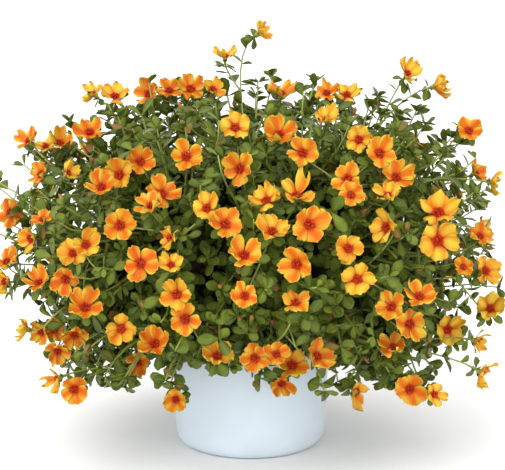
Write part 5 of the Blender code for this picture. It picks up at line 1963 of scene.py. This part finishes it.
class PORTULACA_OT_leafy_stems(bpy.types.Operator):
    """Grows each leafy stem with its twigs and leaves"""

    bl_idname = "portulaca.leafy_stems"
    bl_label = "Leafy stems"

    def execute(self, context):
        settings = context.scene.portulaca_foliage
        draw = np.random.default_rng(SEED + 2)
        looks = [leaf_look(settings), stem_look(settings), core_look(settings), bud_look(settings)]
        paths, owners, leaves = twigs_and_leaves(settings, draw)
        leaves = joined((leaves, carpet(draw), shoot_leaves(draw)))
        blade_shapes = blades(leaves)
        twigs = carry(paths, TWIG_RADII, TWIG_SIDES)
        budding, bud_shapes, bud_tones = buds(paths, settings.bud_share, draw)
        stems = carry(np.array(planted()["stems"]), STEM_RADII, STEM_FINE_SIDES)
        shoot_owners = np.array([stem for stem, *_ in planted()["shoots"]])
        shoots = [(root, *[whorl[0] for whorl in whorls]) for _, root, whorls in planted()["shoots"]]
        shoots = carry(np.array(shoots), SHOOT_RADII, TWIG_SIDES)
        for k in range(STEM_COUNT):
            pile = Pile()
            pile.add_leaves(blade_shapes, leaves, leaves["owner"] == k)
            mine = owners == k
            pile.add_tubes(twigs[mine], TWIG_SIDES, draw.uniform(0, 1, mine.sum()), STEM_LOOK)
            mine = owners[budding] == k
            pile.add_tubes(bud_shapes[mine], STALK_SIDES, bud_tones[mine], BUD_LOOK)
            pile.add_tubes(stems[k:k + 1], STEM_FINE_SIDES, (STEM_TONE,), STEM_LOOK)
            mine = shoot_owners == k
            pile.add_tubes(shoots[mine], TWIG_SIDES, np.full(mine.sum(), SHOOT_TONE), STEM_LOOK)
            points, faces = planted()["cores"][k]
            places = np.zeros((len(points), 2))
            pile.add(drawn_in(points, k)[None], (np.array(faces),), places, (EVEN_TONE,), CORE_LOOK)
            make_piece(f"leafy_stem_{k + 1:02d}_leaves", pile, looks, "leaf_green", f"leafy_stem_{k + 1:02d}")
        return {"FINISHED"}


class PORTULACA_OT_bloom_sprays(bpy.types.Operator):
    """Opens each spray's blooms on its stalks"""

    bl_idname = "portulaca.bloom_sprays"
    bl_label = "Bloom sprays"

    def execute(self, context):
        settings, foliage = context.scene.portulaca_blooms, context.scene.portulaca_foliage
        draw = np.random.default_rng(SEED + 3)
        sprays, members, _, _ = stalk_table()
        green_looks = [leaf_look(foliage), stem_look(foliage)]
        petal_looks = [petal_look(settings), stamen_look(settings)]
        stalks, hearts, shells = bloom_stalks(), heart_domes(members), petals(members, draw)
        threads, anthers, anther_tones = stamens(members, draw)
        leaves = joined((stalk_leaves(draw), sepals(draw)))
        blade_shapes = blades(leaves)
        petal_place, petal_under = petal_places()
        petal_tones = np.repeat(draw.uniform(0, 1, len(members)), PETALS)
        petal_tones = np.clip(petal_tones + draw.normal(0, 0.1, len(petal_tones)), 0, 1)
        for k in range(SPRAY_COUNT):
            mine = sprays == k
            pile = Pile()
            own = np.repeat(mine, PETALS)
            pile.add(shells[own], (petal_faces(),), petal_place, petal_tones[own], PETAL_LOOK, petal_under)
            own = np.repeat(mine, STAMENS)
            pile.add_tubes(threads[own], THREAD_SIDES, np.zeros(own.sum()), STAMEN_LOOK)
            pile.add_tubes(anthers[own], ANTHER_SIDES, anther_tones[own], STAMEN_LOOK)
            pile.add_tubes(hearts[mine], HEART_SIDES, np.zeros(mine.sum()), STAMEN_LOOK)
            node = f"bloom_spray_{k + 1:02d}"
            make_piece(f"{node}_petals", pile, petal_looks, "petal_orange", node)
            pile = Pile()
            pile.add_tubes(stalks[mine], STALK_SIDES, draw.uniform(0, 1, mine.sum()), STEM_LOOK)
            pile.add_leaves(blade_shapes, leaves, leaves["owner"] == k)
            make_piece(f"{node}_stalks", pile, green_looks, "leaf_green")
        return {"FINISHED"}


def add_light(name, place, spread, strength):
    """A distant soft light, spread over some degrees of sky, that shines on the mound from a side."""
    light = bpy.data.lights.new(name, "SUN")
    light.angle = math.radians(spread)
    light.energy = strength
    stand(add_object(name, light), place, MOUND_CENTRE)


class PORTULACA_OT_stage(bpy.types.Operator):
    """Lays the floor, hangs the soft lights and stands the camera where the photographer stood"""

    bl_idname = "portulaca.stage"
    bl_label = "Stage"

    def execute(self, context):
        settings = context.scene.portulaca_stage
        scene = context.scene
        mesh = bpy.data.meshes.new("floor")
        corners = [(x * FLOOR_REACH, y * FLOOR_REACH, 0) for x, y in ((-1, -1), (1, -1), (1, 1), (-1, 1))]
        mesh.from_pydata(corners, [], [(0, 1, 2, 3)])
        mesh.materials.append(floor_look(settings))
        add_object("floor", mesh)
        add_light("key_light", KEY_PLACE, KEY_SPREAD, settings.key)
        add_light("fill_light", FILL_PLACE, FILL_SPREAD, settings.fill)
        scene.world = bpy.data.worlds.new("surround")
        scene.world.use_nodes = True
        surround = scene.world.node_tree.nodes["Background"]
        surround.inputs["Color"].default_value = (1.0, 1.0, 1.0, 1.0)
        surround.inputs["Strength"].default_value = settings.sky
        camera = bpy.data.cameras.new("camera")
        camera.lens = LENS
        camera.sensor_width = SENSOR
        scene.camera = add_object("camera", camera)
        stand(scene.camera, EYE, AIM)
        scene.view_settings.view_transform = "Standard"
        return {"FINISHED"}


class PORTULACA_PT_panel(bpy.types.Panel):
    """Everything that a potted portulaca is made of"""

    bl_idname = "PORTULACA_PT_panel"
    bl_label = "Potted portulaca"
    bl_space_type = "VIEW_3D"
    bl_region_type = "UI"
    bl_category = "Portulaca"

    def draw(self, context):
        for group, _, operator in PARTS:
            box = self.layout.box()
            settings = getattr(context.scene, group)
            for label in settings.bl_rna.properties.keys():
                if label not in ("rna_type", "name"):
                    box.prop(settings, label)
            box.operator(operator.bl_idname)


PARTS = (
    ("portulaca_pot", PotSettings, PORTULACA_OT_pot),
    ("portulaca_soil", SoilSettings, PORTULACA_OT_soil),
    ("portulaca_foliage", FoliageSettings, PORTULACA_OT_leafy_stems),
    ("portulaca_blooms", BloomSettings, PORTULACA_OT_bloom_sprays),
    ("portulaca_stage", StageSettings, PORTULACA_OT_stage),
)


def register():
    for group, settings, operator in PARTS:
        bpy.utils.register_class(settings)
        bpy.utils.register_class(operator)
        setattr(bpy.types.Scene, group, PointerProperty(type=settings))
    bpy.utils.register_class(PORTULACA_PT_panel)


def unregister():
    bpy.utils.unregister_class(PORTULACA_PT_panel)
    for group, settings, operator in reversed(PARTS):
        delattr(bpy.types.Scene, group)
        bpy.utils.unregister_class(operator)
        bpy.utils.unregister_class(settings)


def main():
    register()
    bpy.ops.portulaca.stage()
    bpy.ops.portulaca.pot()
    bpy.ops.portulaca.soil()
    bpy.ops.portulaca.leafy_stems()
    bpy.ops.portulaca.bloom_sprays()
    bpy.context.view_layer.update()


if __name__ == "__main__":
    main()
